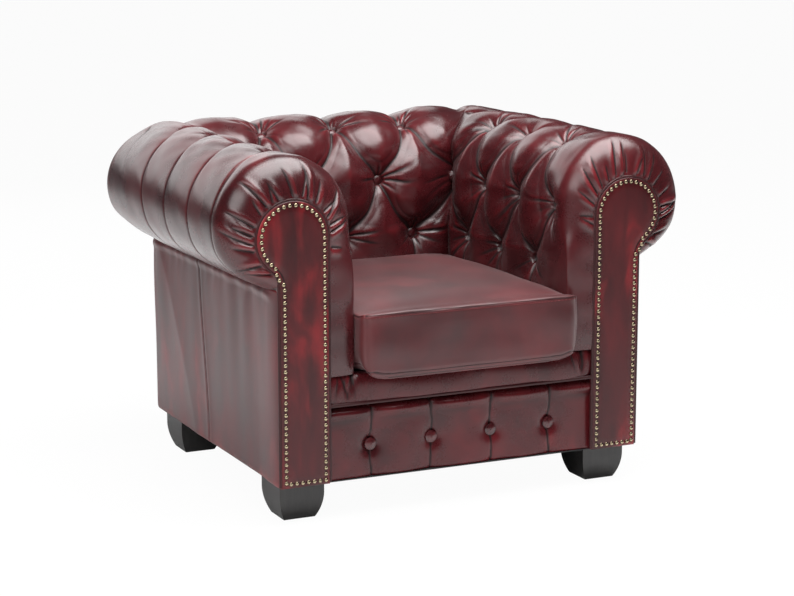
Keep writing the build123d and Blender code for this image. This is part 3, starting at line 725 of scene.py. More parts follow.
def bead(name: str, points: list[Vector], radius: float, closed: bool = False) -> bpy.types.Object:
    """Sweep a round bead along a line of points.

    Args:
        name: Name of the piece.
        points: Points of the line.
        radius: Radius of the bead.
        closed: True to join the ends.

    Returns:
        The bead as a mesh object.
    """
    curve = bpy.data.curves.new(name + "_line", "CURVE")
    curve.dimensions, curve.bevel_depth, curve.bevel_resolution = "3D", radius, 3
    curve.use_fill_caps = not closed
    spline = curve.splines.new("POLY")
    spline.points.add(len(points) - 1)
    for spot, point in zip(spline.points, points):
        spot.co = (*point, 1.0)
    spline.use_cyclic_u = closed
    carrier = link(name + "_line", curve)
    graph = bpy.context.evaluated_depsgraph_get()
    mesh = bpy.data.meshes.new_from_object(carrier.evaluated_get(graph))
    bpy.data.objects.remove(carrier)
    bpy.data.curves.remove(curve)
    mesh.name = name
    mesh.shade_smooth()
    return link(name, mesh)


class Dresser:
    """Gives each piece its body and the finish of its slot, and hides the CAD nodes that it stands for."""

    def __init__(self) -> None:
        """Make every finish once."""
        self.finish = {slot: made.material() for slot, made in FINISHES.items()}
        self.piping, self.front, self.facing, self.thread = (
            made.material() for made in (PIPING, FRONT, FACING, THREAD))
        self.pieces: list[bpy.types.Object] = []

    def dress(self, piece: bpy.types.Object, slot: Slot, *nodes: str, body: str = "chair",
              fill: float | None = None, material: bpy.types.Material | None = None) -> None:
        """Finish a new piece.

        Args:
            piece: The piece to dress.
            slot: The record's slot that it takes its finish from.
            nodes: CAD nodes that it stands for.
            body: Body that it moves with.
            fill: How full a padded piece is, or None; not used.
            material: Material to use instead of the slot's own.
        """
        piece.data.materials.clear()
        piece.data.materials.append(material or self.finish[slot])
        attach(piece, body)
        if nodes:
            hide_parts(*nodes)
        self.pieces.append(piece)
        LOG.info("%s: %d faces", piece.name, len(piece.data.polygons))

    def carry_over(self) -> None:
        """Give every CAD node the finish of its slot."""
        words = {slot.value for slot in Slot}
        for name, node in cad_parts.items():
            for place in node.material_slots:
                word = place.material.name.split(".")[0] if place.material else ""
                if word in words:
                    place.material = self.finish[Slot(word)]
                else:
                    LOG.warning("%s has no slot: %s", name, word)


@dataclass(frozen=True)
class ScrollProfile:
    """Cross-section of a rolled pad, walked from the deck up the face, over the roll and under to the seam."""

    sweep: float = math.radians(195.0)
    under: float = 0.128
    tuck: float = 0.010
    lead: float = 0.060
    crease: float = 0.014
    mitre_depth: float = 0.005
    mitre_drop: float = 0.013

    @property
    def face(self) -> float:
        """Length of the upright face."""
        return PLAN.roll_z - PLAN.deck_z

    @property
    def arc_end(self) -> float:
        """Walk at which the roll's arc ends."""
        return self.face + PLAN.roll_radius * self.sweep

    @property
    def length(self) -> float:
        """Whole walk."""
        return self.arc_end + self.under + self.tuck

    def crest(self, t: Array) -> tuple[Array, Array, Array, Array]:
        """Points and outward normals of the pad's crest.

        Args:
            t: Walk along the profile.

        Returns:
            u from the roll axis, z, and the two parts of the normal.
        """
        radius, seam = PLAN.roll_radius, PLAN.panel_x - PLAN.roll_x
        angle = math.pi - np.clip((t - self.face) / radius, 0.0, self.sweep)
        u, z = radius * np.cos(angle), PLAN.roll_z + radius * np.sin(angle)
        nu, nz = np.cos(angle), np.sin(angle)
        z = z - np.maximum(self.face - t, 0.0)
        end = math.pi - self.sweep
        start = np.array([radius * math.cos(end), PLAN.roll_z + radius * math.sin(end)])
        lead = start + self.lead * np.array([math.sin(end), -math.cos(end)])
        tip = np.array([seam + 0.004, PLAN.seam_z + 0.0005])
        v = np.clip((t - self.arc_end) / self.under, 0.0, 1.0)
        low = t > self.arc_end
        spots = [(1 - v) ** 2 * start[k] + 2 * v * (1 - v) * lead[k] + v**2 * tip[k] for k in (0, 1)]
        slope = [(1 - v) * (lead[k] - start[k]) + v * (tip[k] - lead[k]) for k in (0, 1)]
        size = np.hypot(*slope)
        in_tuck = np.clip((t - self.arc_end - self.under) / self.tuck, 0.0, 1.0)
        u = np.where(low, spots[0] - self.tuck * in_tuck, u)
        z = np.where(low, spots[1] - 0.002 * in_tuck, z)
        return u, z, np.where(low, -slope[1] / size, nu), np.where(low, slope[0] / size, nz)

    @staticmethod
    def tail(u: Array) -> Array:
        """Length that the roll adds to a pad up to the mitre, for the reach from its axis."""
        return np.where(u < 0.0, u, u * math.pi / 4.0)

    @staticmethod
    def turn(over: Array, u: Array) -> Array:
        """Angle that a pad has turned round the corner, for the length past its start and the reach."""
        angle = np.where(u < 0.0, 0.0, np.maximum(over, 0.0) / np.maximum(u, 1e-4))
        return np.minimum(angle, math.pi / 4.0)

    def kept(self, t: Array) -> Array:
        """Share of the tufting's depth that is left on the way to the seam."""
        return 0.35 + 0.65 * (1.0 - smooth(self.length - 0.045, self.length - 0.012, t))

    def meet(self, depth: Array, to_mitre: Array, t: Array, u: Array) -> Array:
        """Let the skins of an arm and the back run into each other over the roll.

        Args:
            depth: Depth of the skin under its crest.
            to_mitre: Length that is left to the mitre.
            t: Walk along the profile.
            u: Reach from the roll axis.

        Returns:
            The depth, equal on both skins at the mitre.
        """
        depth = depth + np.where(u < 0.0, self.crease * fade(to_mitre, 0.016) * smooth(0.02, -0.10, u), 0.0)
        share = bell(to_mitre, 0.040) * smooth(self.face + 0.10, self.face + 0.19, t)
        eased = depth * (1.0 - share) + self.mitre_depth * share
        return eased + self.mitre_drop * bell(to_mitre, 0.13) * smooth(-0.01, 0.09, u)

    def rim(self, t: Array, grow: float) -> tuple[Array, Array]:
        """Points on the facing's edge that the walk starts from at an arm's front.

        Args:
            t: Walk along the profile.
            grow: How far the line stands outside the facing.

        Returns:
            u from the roll axis and z.
        """
        turn, neck_z = PLAN.neck()
        end = math.pi - self.sweep
        head, hollow = PLAN.head_radius + grow, PLAN.neck_radius - grow
        v = np.clip((t - self.arc_end) / self.under, 0.0, 1.0)
        angle = math.pi - np.clip((t - self.face) / PLAN.roll_radius, 0.0, self.sweep)
        angle = angle + (turn - end) * np.clip(v / 0.5, 0.0, 1.0)
        u = PLAN.head_x - PLAN.roll_x + head * np.cos(angle)
        z = PLAN.head_z + head * np.sin(angle)
        rise = (PLAN.head_z - PLAN.deck_z) / self.face
        z = z - np.maximum(self.face - t, 0.0) * rise
        bend = turn + math.pi - turn * np.clip((v - 0.5) / 0.5, 0.0, 1.0)
        neck_u = PLAN.outer_x + PLAN.neck_radius - PLAN.roll_x
        u = np.where(v > 0.5, neck_u + hollow * np.cos(bend), u)
        z = np.where(v > 0.5, neck_z + hollow * np.sin(bend), z)
        return u, np.where(v >= 1.0, PLAN.seam_z, z)


@dataclass(frozen=True)
class TuftField:
    """Depth of a diamond-tufted skin under its crest, over its length s and its profile walk t."""

    first: float
    pitch: float
    columns: int
    seed: int
    open_front: bool
    rows: tuple[float, float, float] = (0.1717, 0.3017, 0.4833)
    button_depth: float = 0.0335
    edge_share: float = 0.60
    fold_depth: float = 0.012
    over_depth: float = 0.0125
    side_depth: float = 0.0034
    bow: float = 0.075
    puff: float = 0.0090
    sag: float = 0.0075
    bowl: float = 0.0175
    bowl_depth: float = 0.0405
    funnel: float = 0.034
    funnel_depth: float = 0.036
    wander: float = 0.0030
    gather: float = 0.0088
    gather_reach: float = 0.047

    def buttons(self) -> list[tuple[float, float]]:
        """List the buttons.

        Returns:
            Their places (s, t), the middle row first.
        """
        spots = [(self.first + self.pitch * k, self.rows[1]) for k in range(self.columns)]
        for row in (self.rows[0], self.rows[2]):
            spots += [(self.first + self.pitch * (k + 0.5), row) for k in range(self.columns - 1)]
        return spots

    @staticmethod
    def pleat(f: Array) -> Array:
        """Cross-section of a pleat.

        Args:
            f: Cells from a pleat's line.

        Returns:
            1 on the line, 0 half a cell away.
        """
        soft = 0.050
        top = 1.0 - soft**0.5
        return np.clip((1.0 - (np.sin(math.pi * f) ** 2 + soft**2) ** 0.25) / top, 0.0, 1.0)

    def along(self, f: Array) -> Array:
        """Depth along a pleat between two buttons."""
        return self.button_depth * (1.0 - (1.0 - self.edge_share) * np.abs(np.sin(math.pi * f)) ** 0.75)

    def depth(self, s: Array, t: Array) -> Array:
        """Depth of the skin.

        Args:
            s: Length along the pad.
            t: Walk along the profile.

        Returns:
            Depth under the crest in metres.
        """
        low, _, high = self.rows
        raw = s
        s = s + self.wander * ripple(s, t, 0.16, self.seed)
        past = np.clip((t - high) / 0.44, 0.0, 1.0)
        if self.open_front:
            ease, ahead = 1.0 - (1.0 - past) ** 2, 1.0 - (1.0 - past) ** 3.5
            s = (s + 0.111 * ahead) / (1.0 - 0.152 * ease)
        a = (s - self.first) / self.pitch
        b = np.interp(t, self.rows, (0.0, 1.0, 2.0))
        p, q = a + b / 2.0 - 0.5, a - b / 2.0 + 0.5
        inside = np.minimum(b, 2.0 - b).clip(0.0, 0.25) * 4.0
        p, q = (p + self.bow * inside * np.sin(math.pi * q) ** 2, q - self.bow * inside * np.sin(math.pi * p) ** 2)
        if self.open_front:
            keep_p, keep_q = smooth(-0.42, -0.04, q), smooth(-0.42, -0.04, p)
            p_line, q_line = np.maximum(p, -0.5), np.maximum(q, -0.5)
        else:
            keep_p = keep_q = np.ones_like(p)
            p_line, q_line = p, q
        one = self.pleat(p_line) * self.along(q) * keep_p
        two = self.pleat(q_line) * self.along(p) * keep_q
        lattice = (one**4 + two**4) ** 0.25
        straight = a - 0.5
        if self.open_front:
            straight = np.clip(straight, -0.5, 3.5)
        line = self.pleat(straight)
        under, over = fade(np.maximum(low - t, 0.0), 0.030), fade(np.maximum(t - high, 0.0), 0.055)
        thin = fade(np.abs(np.sin(math.pi * straight)) * self.pitch / math.pi, 0.0030)
        fold = line
        if self.open_front:
            wave = np.ceil(straight) - straight
            ramp = smooth(0.0, 0.16, wave)
            fold = 1.0 - ramp + ramp * wave**1.6 * smooth(-0.2, 0.3, straight)
        crown = self.over_depth * (1.0 - smooth(0.10, 0.62, past))
        rest = crown * fold + self.side_depth * (0.14 * line + 0.86 * thin) * smooth(0.05, 0.40, past)
        depth = np.where(t < low, lattice * under + self.fold_depth * line * (1.0 - under), lattice)
        depth = np.where(t > high, lattice * over + rest * (1.0 - over), depth)
        for spot_s, spot_t in self.buttons():
            radius = np.hypot(raw - spot_s, t - spot_t)
            cone = self.funnel_depth * np.exp(-((radius / self.funnel) ** 1.25))
            depth = (depth**4 + cone**4) ** 0.25
            depth = np.maximum(depth, self.bowl_depth * np.exp(-((radius / self.bowl) ** 5)))
        puff = self.puff * smooth(low - 0.03, low + 0.05, t) * (1.0 - smooth(high - 0.10, high + 0.02, t))
        return np.minimum(depth, self.bowl_depth) - puff * (1.0 - np.minimum(depth / 0.012, 1.0))

    def slump(self, depth: Array, t: Array) -> Array:
        """Let the pillows hang down on the upright face.

        Args:
            depth: Depth of the skin under its crest.
            t: Walk along the profile.

        Returns:
            How far each point sinks.
        """
        low, _, high = self.rows
        face = smooth(low - 0.06, low + 0.05, t) * (1.0 - smooth(high - 0.10, high + 0.02, t))
        return self.sag * face * (1.0 - np.clip(depth / 0.022, 0.0, 1.0))

    def wrinkles(self, s: Array, t: Array) -> Array:
        """Fine gathers that run out from the buttons.

        Args:
            s: Length along the pad.
            t: Walk along the profile.

        Returns:
            Extra depth in metres.
        """
        rng = np.random.default_rng(self.seed + 40)
        extra = np.zeros_like(s)
        for spot_s, spot_t in self.buttons():
            away, up = s - spot_s, t - spot_t
            radius, angle = np.hypot(away, up), np.arctan2(up, away)
            phase = rng.uniform(0.0, 2.0 * math.pi, 4)
            count = int(rng.integers(9, 14))
            comb = np.cos(count * angle + phase[0] + 0.9 * np.sin(2.0 * angle + phase[1]))
            share = 0.40 + 0.60 * np.cos(angle * 2.0 + phase[2]) * np.cos(3.0 * angle + phase[3])
            reach = self.gather_reach + 0.018 * np.cos(3.0 * angle + phase[1])
            if self.open_front and spot_s == self.first:
                reach = reach + 0.030 * bell(np.abs(angle) - math.pi, 0.6)
            fall = bell(radius, reach) * radius / (radius + 0.010)
            extra += self.gather * fall * share.clip(0.0, 1.0) * (0.5 + 0.5 * comb) ** 3
        return extra + (0.0009 - 0.0007 * smooth(0.55, 0.72, t)) * ripple(s, t, 0.055, self.seed + 7)


@dataclass
class ArmPad:
    """One arm's tufted cover, from its gathered scroll front to the mitre with the back."""

    side: Side
    profile: ScrollProfile = ScrollProfile()
    columns: int = 320
    rows: int = 370
    lead: float = 0.101
    front_round: float = 0.062
    inner_round: float = 0.018
    rim_grow: float = 0.0015
    rim_set: float = 0.003
    gathers: int = 19

    def field(self) -> TuftField:
        """The arm's tufting."""
        return TuftField(first=0.122, pitch=0.164, columns=4, seed=11 if self.side is Side.LEFT else 23,
                         open_front=True)

    def scroll_gathers(self, run: Array, t: Array) -> Array:
        """Creases that run from the facing's edge out over the scroll.

        Args:
            run: Length from the rim.
            t: Walk along the profile.

        Returns:
            Extra depth in metres.
        """
        rng = np.random.default_rng(5 if self.side is Side.LEFT else 9)
        start, end = self.profile.face - 0.050, self.profile.arc_end + 0.085
        count = self.gathers
        lines = start + (end - start) * (np.arange(count) + rng.uniform(0.15, 0.85, count)) / count
        leans, lengths = rng.uniform(-0.45, 0.45, count), rng.uniform(0.034, 0.090, count)
        depths = rng.uniform(0.0030, 0.0066, count)
        extra = np.zeros_like(run)
        for middle, lean, length, deep in zip(lines, leans, lengths, depths):
            offset = t - middle - lean * run
            reach = smooth(0.001, 0.010, run) * (1.0 - smooth(0.35 * length, length, run))
            step = smooth(-0.0022, 0.0022, offset) * fade(np.maximum(offset, 0.0), 0.0065)
            extra += deep * reach * (1.25 * step - 0.55 * bell(offset + 0.010, 0.008))
        return extra

    def place(self, sigma: Array, tau: Array) -> Array:
        """Points of the cover.

        Args:
            sigma: Share of the length, from the rim to the mitre.
            tau: Share of the profile's walk.

        Returns:
            One row of x, y, z per point.
        """
        field, t = self.field(), tau * self.profile.length
        crest_u, crest_z, normal_u, normal_z = self.profile.crest(t)
        rim_u, rim_z = self.profile.rim(t, self.rim_grow)
        full = self.inner_round + (self.front_round - self.inner_round) * smooth(0.19, self.profile.face + 0.02, t)
        depth_y = full - self.rim_set
        straight = PLAN.roll_y - PLAN.front_y - full
        tail = self.profile.tail(crest_u)
        run = sigma * (self.lead + straight + tail)
        beta = np.clip(run / self.lead, 0.0, 1.0) * math.pi / 2.0
        body = np.maximum(run - self.lead, 0.0)
        y = PLAN.front_y + self.rim_set + depth_y * (1.0 - np.cos(beta)) + np.minimum(body, straight)
        s = self.rim_set + depth_y * (1.0 - np.cos(beta)) + body
        out_u, out_z = crest_u - rim_u, crest_z - rim_z
        size = np.maximum(np.hypot(out_u, out_z), 1e-6)
        u, z = rim_u + out_u * np.sin(beta), rim_z + out_z * np.sin(beta)
        ahead = beta < math.pi / 2.0
        nu = np.where(ahead, out_u / size * np.sin(beta), normal_u)
        nz = np.where(ahead, out_z / size * np.sin(beta), normal_z)
        ny = np.where(ahead, -np.cos(beta), 0.0)
        calm = smooth(0.012, 0.085, s)
        depth = (field.depth(s, t) * calm + field.wrinkles(s, t) * calm) * self.profile.kept(t)
        depth += self.scroll_gathers(run, t) + (0.0011 - 0.0007 * smooth(0.0, 0.10, crest_u)) * ripple(s, t, 0.09, 3)
        to_mitre = (straight + tail - body).clip(0.0)
        inner = crest_u < 0.0
        depth = self.profile.meet(depth, to_mitre, t, crest_u)
        u, z, y = u - depth * nu, z - depth * nz - field.slump(depth, t) * calm, y - depth * ny
        y = np.where(inner, y + (u - crest_u) * (1.0 - smooth(0.0, 0.06, to_mitre)) * ~ahead, y)
        turn = self.profile.turn(body - straight, crest_u)
        x = PLAN.roll_x + u * np.cos(turn)
        y = y + np.where(inner, 0.0, u * np.sin(turn))
        return np.stack([self.side.value * x, y, z], 1)

    def build(self, dresser: Dresser) -> None:
        """Make and dress the cover."""
        made = sheet(f"arm_pad_{self.side.word}", self.columns, self.rows, self.place, self.side is Side.RIGHT)
        dresser.dress(made, Slot.TUFTED, f"arm_cover_{self.side.word}", fill=0.8)


@dataclass
class BackPad:
    """The tufted back, mitred into both arms."""

    profile: ScrollProfile = ScrollProfile()
    columns: int = 340
    rows: int = 370

    def place(self, sigma: Array, tau: Array) -> Array:
        """Points of the back cover.

        Args:
            sigma: Share of the length, from mitre to mitre.
            tau: Share of the profile's walk.

        Returns:
            One row of x, y, z per point.
        """
        field = TuftField(first=-0.267, pitch=0.178, columns=4, seed=31, open_front=False)
        t = tau * self.profile.length
        crest_u, crest_z, normal_u, normal_z = self.profile.crest(t)
        inner = crest_u < 0.0
        tail = self.profile.tail(crest_u)
        s = (2.0 * sigma - 1.0) * (PLAN.roll_x + tail)
        depth = field.depth(s, t) + field.wrinkles(s, t) + 0.0011 * ripple(s, t, 0.09, 4)
        to_mitre = (PLAN.roll_x + tail - np.abs(s)).clip(0.0)
        depth = self.profile.meet(depth * self.profile.kept(t), to_mitre, t, crest_u)
        depth += 0.005 * smooth(0.50, 0.56, t) * (1.0 - smooth(0.75, 0.90, t)) * smooth(0.33, 0.20, np.abs(s))
        u, z = crest_u - depth * normal_u, crest_z - depth * normal_z - field.slump(depth, t)
        way = np.sign(s)
        turn = self.profile.turn(np.abs(s) - PLAN.roll_x, crest_u)
        x = np.where(inner, s + way * (u - crest_u) * (1.0 - smooth(0.0, 0.06, to_mitre)),
                     way * (np.minimum(np.abs(s), PLAN.roll_x) + u * np.sin(turn)))
        return np.stack([x, PLAN.roll_y + u * np.cos(turn), z], 1)

    def build(self, dresser: Dresser) -> None:
        """Make and dress the back."""
        dresser.dress(sheet("back_pad", self.columns, self.rows, self.place), Slot.TUFTED, "back_cover", fill=0.8)


@dataclass
class ArmFacing:
    """Scroll-shaped leather facing with its piped edge."""

    side: Side
    bead_radius: float = 0.0036
    skirt: float = 0.026
    insets: tuple[tuple[float, float], ...] = (
        (0.0026, 0.0022), (0.0036, 0.0012), (0.0034, -0.0020), (0.0034, 0.0020), (0.0120, 0.0006))

    def build(self, dresser: Dresser) -> None:
        """Make the facing and its bead.

        Args:
            dresser: Dresser that finishes the pieces.
        """
        word, sign = self.side.word, self.side.value
        bm = bmesh.new()
        line = [bm.verts.new((sign * x, PLAN.front_y + 0.0030, z)) for x, z in PLAN.scroll(0.0004)]
        front = bm.faces.new(line)
        front.normal_update()
        if front.normal.y > 0.0:
            bmesh.ops.reverse_faces(bm, faces=[front])
        skirt = bmesh.ops.extrude_edge_only(bm, edges=front.edges[:])
        bmesh.ops.translate(bm, vec=(0.0, self.skirt, 0.0),
                            verts=[v for v in skirt["geom"] if isinstance(v, bmesh.types.BMVert)])
        for wide, rise in self.insets:
            bmesh.ops.inset_region(bm, faces=[front], thickness=wide, use_even_offset=True)
            bmesh.ops.translate(bm, vec=(0.0, -rise, 0.0), verts=front.verts[:])
        bmesh.ops.triangulate(bm, faces=[front])
        made = from_bmesh(f"arm_face_{word}", bm)
        mark_wear_and_shade(made.data, FIRM_RIDGE)
        dresser.dress(made, Slot.PANEL, f"arm_facing_{word}", fill=0.9, material=dresser.facing)
        walk = [Vector((sign * x, PLAN.front_y + 0.0050, z)) for x, z in PLAN.scroll(0.0012, lift=0.003)]
        dresser.dress(bead(f"arm_face_piping_{word}", walk, self.bead_radius), Slot.PANEL, material=dresser.piping)


@dataclass
class FrontApron:
    """Buttoned apron under the seat lip."""

    grid: tuple[int, int] = (260, 72)
    overlap: float = 0.002
    bulge: float = 0.011
    button_width: float = 0.026
    pleat: float = 0.0030
    dimple: float = 0.010
    dimple_radius: float = 0.020
    puff: float = 0.0105
    unevenness: float = 0.0016

    def build(self, dresser: Dresser) -> None:
        """Make and dress the apron.

        Args:
            dresser: Dresser that finishes the pieces.
        """
        low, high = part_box("front_apron")
        button_low, button_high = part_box("apron_buttons")
        button_z = (button_low.z + button_high.z) / 2.0
        width = high.x - low.x
        pitch = (button_high.x - button_low.x - self.button_width) / 3.0

        def shape(s: Array, t: Array) -> tuple[Array, Array, Array]:
            """Points of the apron.

            Args:
                s: Share of the width.
                t: Share of the height.

            Returns:
                x, y and z of each point.
            """
            x, z = low.x - self.overlap + (width + 2.0 * self.overlap) * s, low.z + (high.z - low.z) * t
            sway = 0.0022 * np.sin((z - button_z) * 46.0 + np.round(x / pitch - 0.5) * 2.1)
            f = np.clip((x + sway) / pitch - 0.5, -2.5, 1.5)
            line = TuftField.pleat(f)
            thin = fade(np.abs(np.sin(math.pi * f)) * pitch / math.pi, 0.0032)
            dip = np.exp(-((np.sin(math.pi * f) * pitch / math.pi) ** 2 + (z - button_z) ** 2) / self.dimple_radius**2)
            top, foot = high.z - z, z - low.z
            y = low.y + self.pleat * line * smooth(0.0, 0.02, top) + self.pleat * thin + self.dimple * dip
            y += -self.puff * bell(top - 0.017, 0.013) * (1.0 - 0.85 * line) + 0.0050
            y += self.bulge * fade(top, 0.0065) + 0.002 * fade(foot, 0.003)
            y += self.unevenness * ripple(x, z, 0.11, 17) * smooth(0.0, 0.02, top)
            return x, y, z - 0.006 * line * fade(top, 0.012)

        made = framed("apron_front", self.grid, shape, 1, high.y, ridge=FRONT_RIDGE)
        dresser.dress(made, Slot.PANEL, "front_apron", fill=0.8, material=dresser.front)


@dataclass
class SeatLip:
    """Padded band along the seat's front edge, gathered into both arms."""

    grid: tuple[int, int] = (260, 40)
    overlap: float = 0.002
    depth: float = 0.016
    wrap: float = math.radians(190.0)
    folds: int = 14
    hem_radius: float = 0.0042
    unevenness: float = 0.0018

    def build(self, dresser: Dresser) -> None:
        """Make and dress the lip.

        Args:
            dresser: Dresser that finishes the pieces.
        """
        low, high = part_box("seat_lip")
        width = high.x - low.x
        rng = np.random.default_rng(2)
        folds = [(rng.uniform(0.004, 0.070), rng.uniform(0.002, 0.0045), rng.uniform(-0.4, 0.4))
                 for _ in range(self.folds)]

        def shape(s: Array, t: Array) -> tuple[Array, Array, Array]:
            """Points of the lip.

            Args:
                s: Share of the width.
                t: Share of the walk up its rounded front.

            Returns:
                x, y and z of each point.
            """
            x = low.x - self.overlap + (width + 2.0 * self.overlap) * s
            tall = high.z - low.z
            angle = (t - 0.5) * self.wrap
            z = low.z + tall / 2.0 + tall / 2.0 * np.sin(np.clip(angle, -math.pi / 2, math.pi / 2))
            reach = np.cos(angle)
            y = low.y + self.depth * (1.0 - np.sign(reach) * np.abs(reach) ** 0.7)
            edge = np.minimum(x - low.x, high.x - x)
            for k, (middle, deep, lean) in enumerate(folds):
                near = (x < 0) if k % 2 else (x > 0)
                offset = edge - middle - lean * (z - low.z)
                y = y + near * deep * fade(np.abs(offset), 0.005) * smooth(0.15, 0.75, t)
            return x, y + self.unevenness * ripple(x, z, 0.10, 21) + 0.006 * fade(edge, 0.012), z

        made = framed("lip_front", self.grid, shape, 1, high.y, ridge=FRONT_RIDGE)
        dresser.dress(made, Slot.PANEL, "seat_lip", fill=0.8, material=dresser.front)
        hem = [Vector((low.x + width * k / 60.0, low.y + 0.0065, low.z + 0.0045)) for k in range(61)]
        dresser.dress(bead("lip_hem", hem, self.hem_radius), Slot.PANEL, material=dresser.piping)


@dataclass
class OutsidePanels:
    """Plain leather on the outside of the arms and the back."""

    grid: tuple[int, int] = (150, 84)
    skin: float = 0.0004
    turn_in: float = 0.001
    pucker: float = 0.0034
    back_pucker: float = 0.0016
    fall: float = 0.0016
    groove: float = 0.0026
    front_turn: float = 0.0095
    front_radius: float = 0.042

    def arm(self, side: Side) -> bpy.types.Object:
        """Make one arm's outside panel.

        Args:
            side: Which arm.

        Returns:
            The panel.
        """
        low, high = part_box("outside_arm_right")
        front = PLAN.front_y + 0.004
        rear = high.y

        def shape(s: Array, t: Array) -> tuple[Array, Array, Array]:
            """Points of the panel.

            Args:
                s: Share of the way to the rear.
                t: Share of the height.

            Returns:
                x, y and z of each point.
            """
            y, z = front + (rear - front) * s, low.z + (high.z + 0.004 - low.z) * t
            top, foot, lead = high.z - z, z - low.z, y - front
            seam = front + 0.412 + 0.052 * smooth(0.0, 1.0, t)
            pucker = fade(top, 0.024) * np.abs(ripple(y, z * 0.3, 0.060, 45))
            fall = fade(top, 0.16) * ripple(y, z * 0.25, 0.10, 41)
            groove = bell(y - seam, 0.0035) - 0.5 * bell(y - seam, 0.014)
            x = high.x - self.skin - (self.pucker * pucker + self.fall * fall) * smooth(0.03, 0.07, lead)
            x = x - self.groove * groove
            x += 0.0045 * smooth(0.13, 0.05, lead)
            x -= self.front_turn * (1.0 - np.sqrt(1.0 - (1.0 - np.clip(lead / self.front_radius, 0.0, 1.0)) ** 2))
            behind = y - (front + 0.490 + 0.245 * t**1.15)
            x += 0.0034 * fade(np.sqrt(behind**2 + 0.006**2), 0.060) * smooth(0.0, 0.03, rear - y)
            x += 0.0026 * smooth(0.10, 0.0, rear - y) * smooth(0.15, 0.35, foot)
            x -= 0.003 * fade(foot, 0.004) * smooth(0.0, 0.05, lead)
            x += 0.0035 * bell(top - 0.012, 0.009) * smooth(0.02, 0.06, lead)
            return side.value * x, y, z

        back = side.value * (low.x + self.turn_in)
        return framed(f"arm_outside_{side.word}", self.grid, shape, 0, back, side is Side.LEFT)

    def back(self) -> bpy.types.Object:
        """Make the outside back panel.

        Returns:
            The panel.
        """
        low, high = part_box("outside_back")

        def shape(s: Array, t: Array) -> tuple[Array, Array, Array]:
            """Points of the panel.

            Args:
                s: Share of the width.
                t: Share of the height.

            Returns:
                x, y and z of each point.
            """
            x, z = low.x + (high.x - low.x) * s, low.z + (high.z - low.z) * t
            top, foot = high.z - z, z - low.z
            edge = np.minimum(x - low.x, high.x - x)
            pucker = fade(top, 0.030) * (0.5 + 0.5 * np.sin(x * 92.0 + 1.3 * np.sin(x * 29.0)))
            fall = self.fall * fade(top, 0.16) * ripple(x, z * 0.25, 0.10, 43)
            y = high.y - self.skin - self.back_pucker * pucker - fall
            return x, y - (0.004 * fade(edge, 0.005) + 0.003 * fade(foot, 0.004)), z

        return framed("back_outside", self.grid, shape, 1, low.y + self.turn_in, True)

    def build(self, dresser: Dresser) -> None:
        """Make and dress the three panels.

        Args:
            dresser: Dresser that finishes the pieces.
        """
        for side in Side:
            dresser.dress(self.arm(side), Slot.PANEL, f"outside_arm_{side.word}")
        dresser.dress(self.back(), Slot.PANEL, "outside_back")


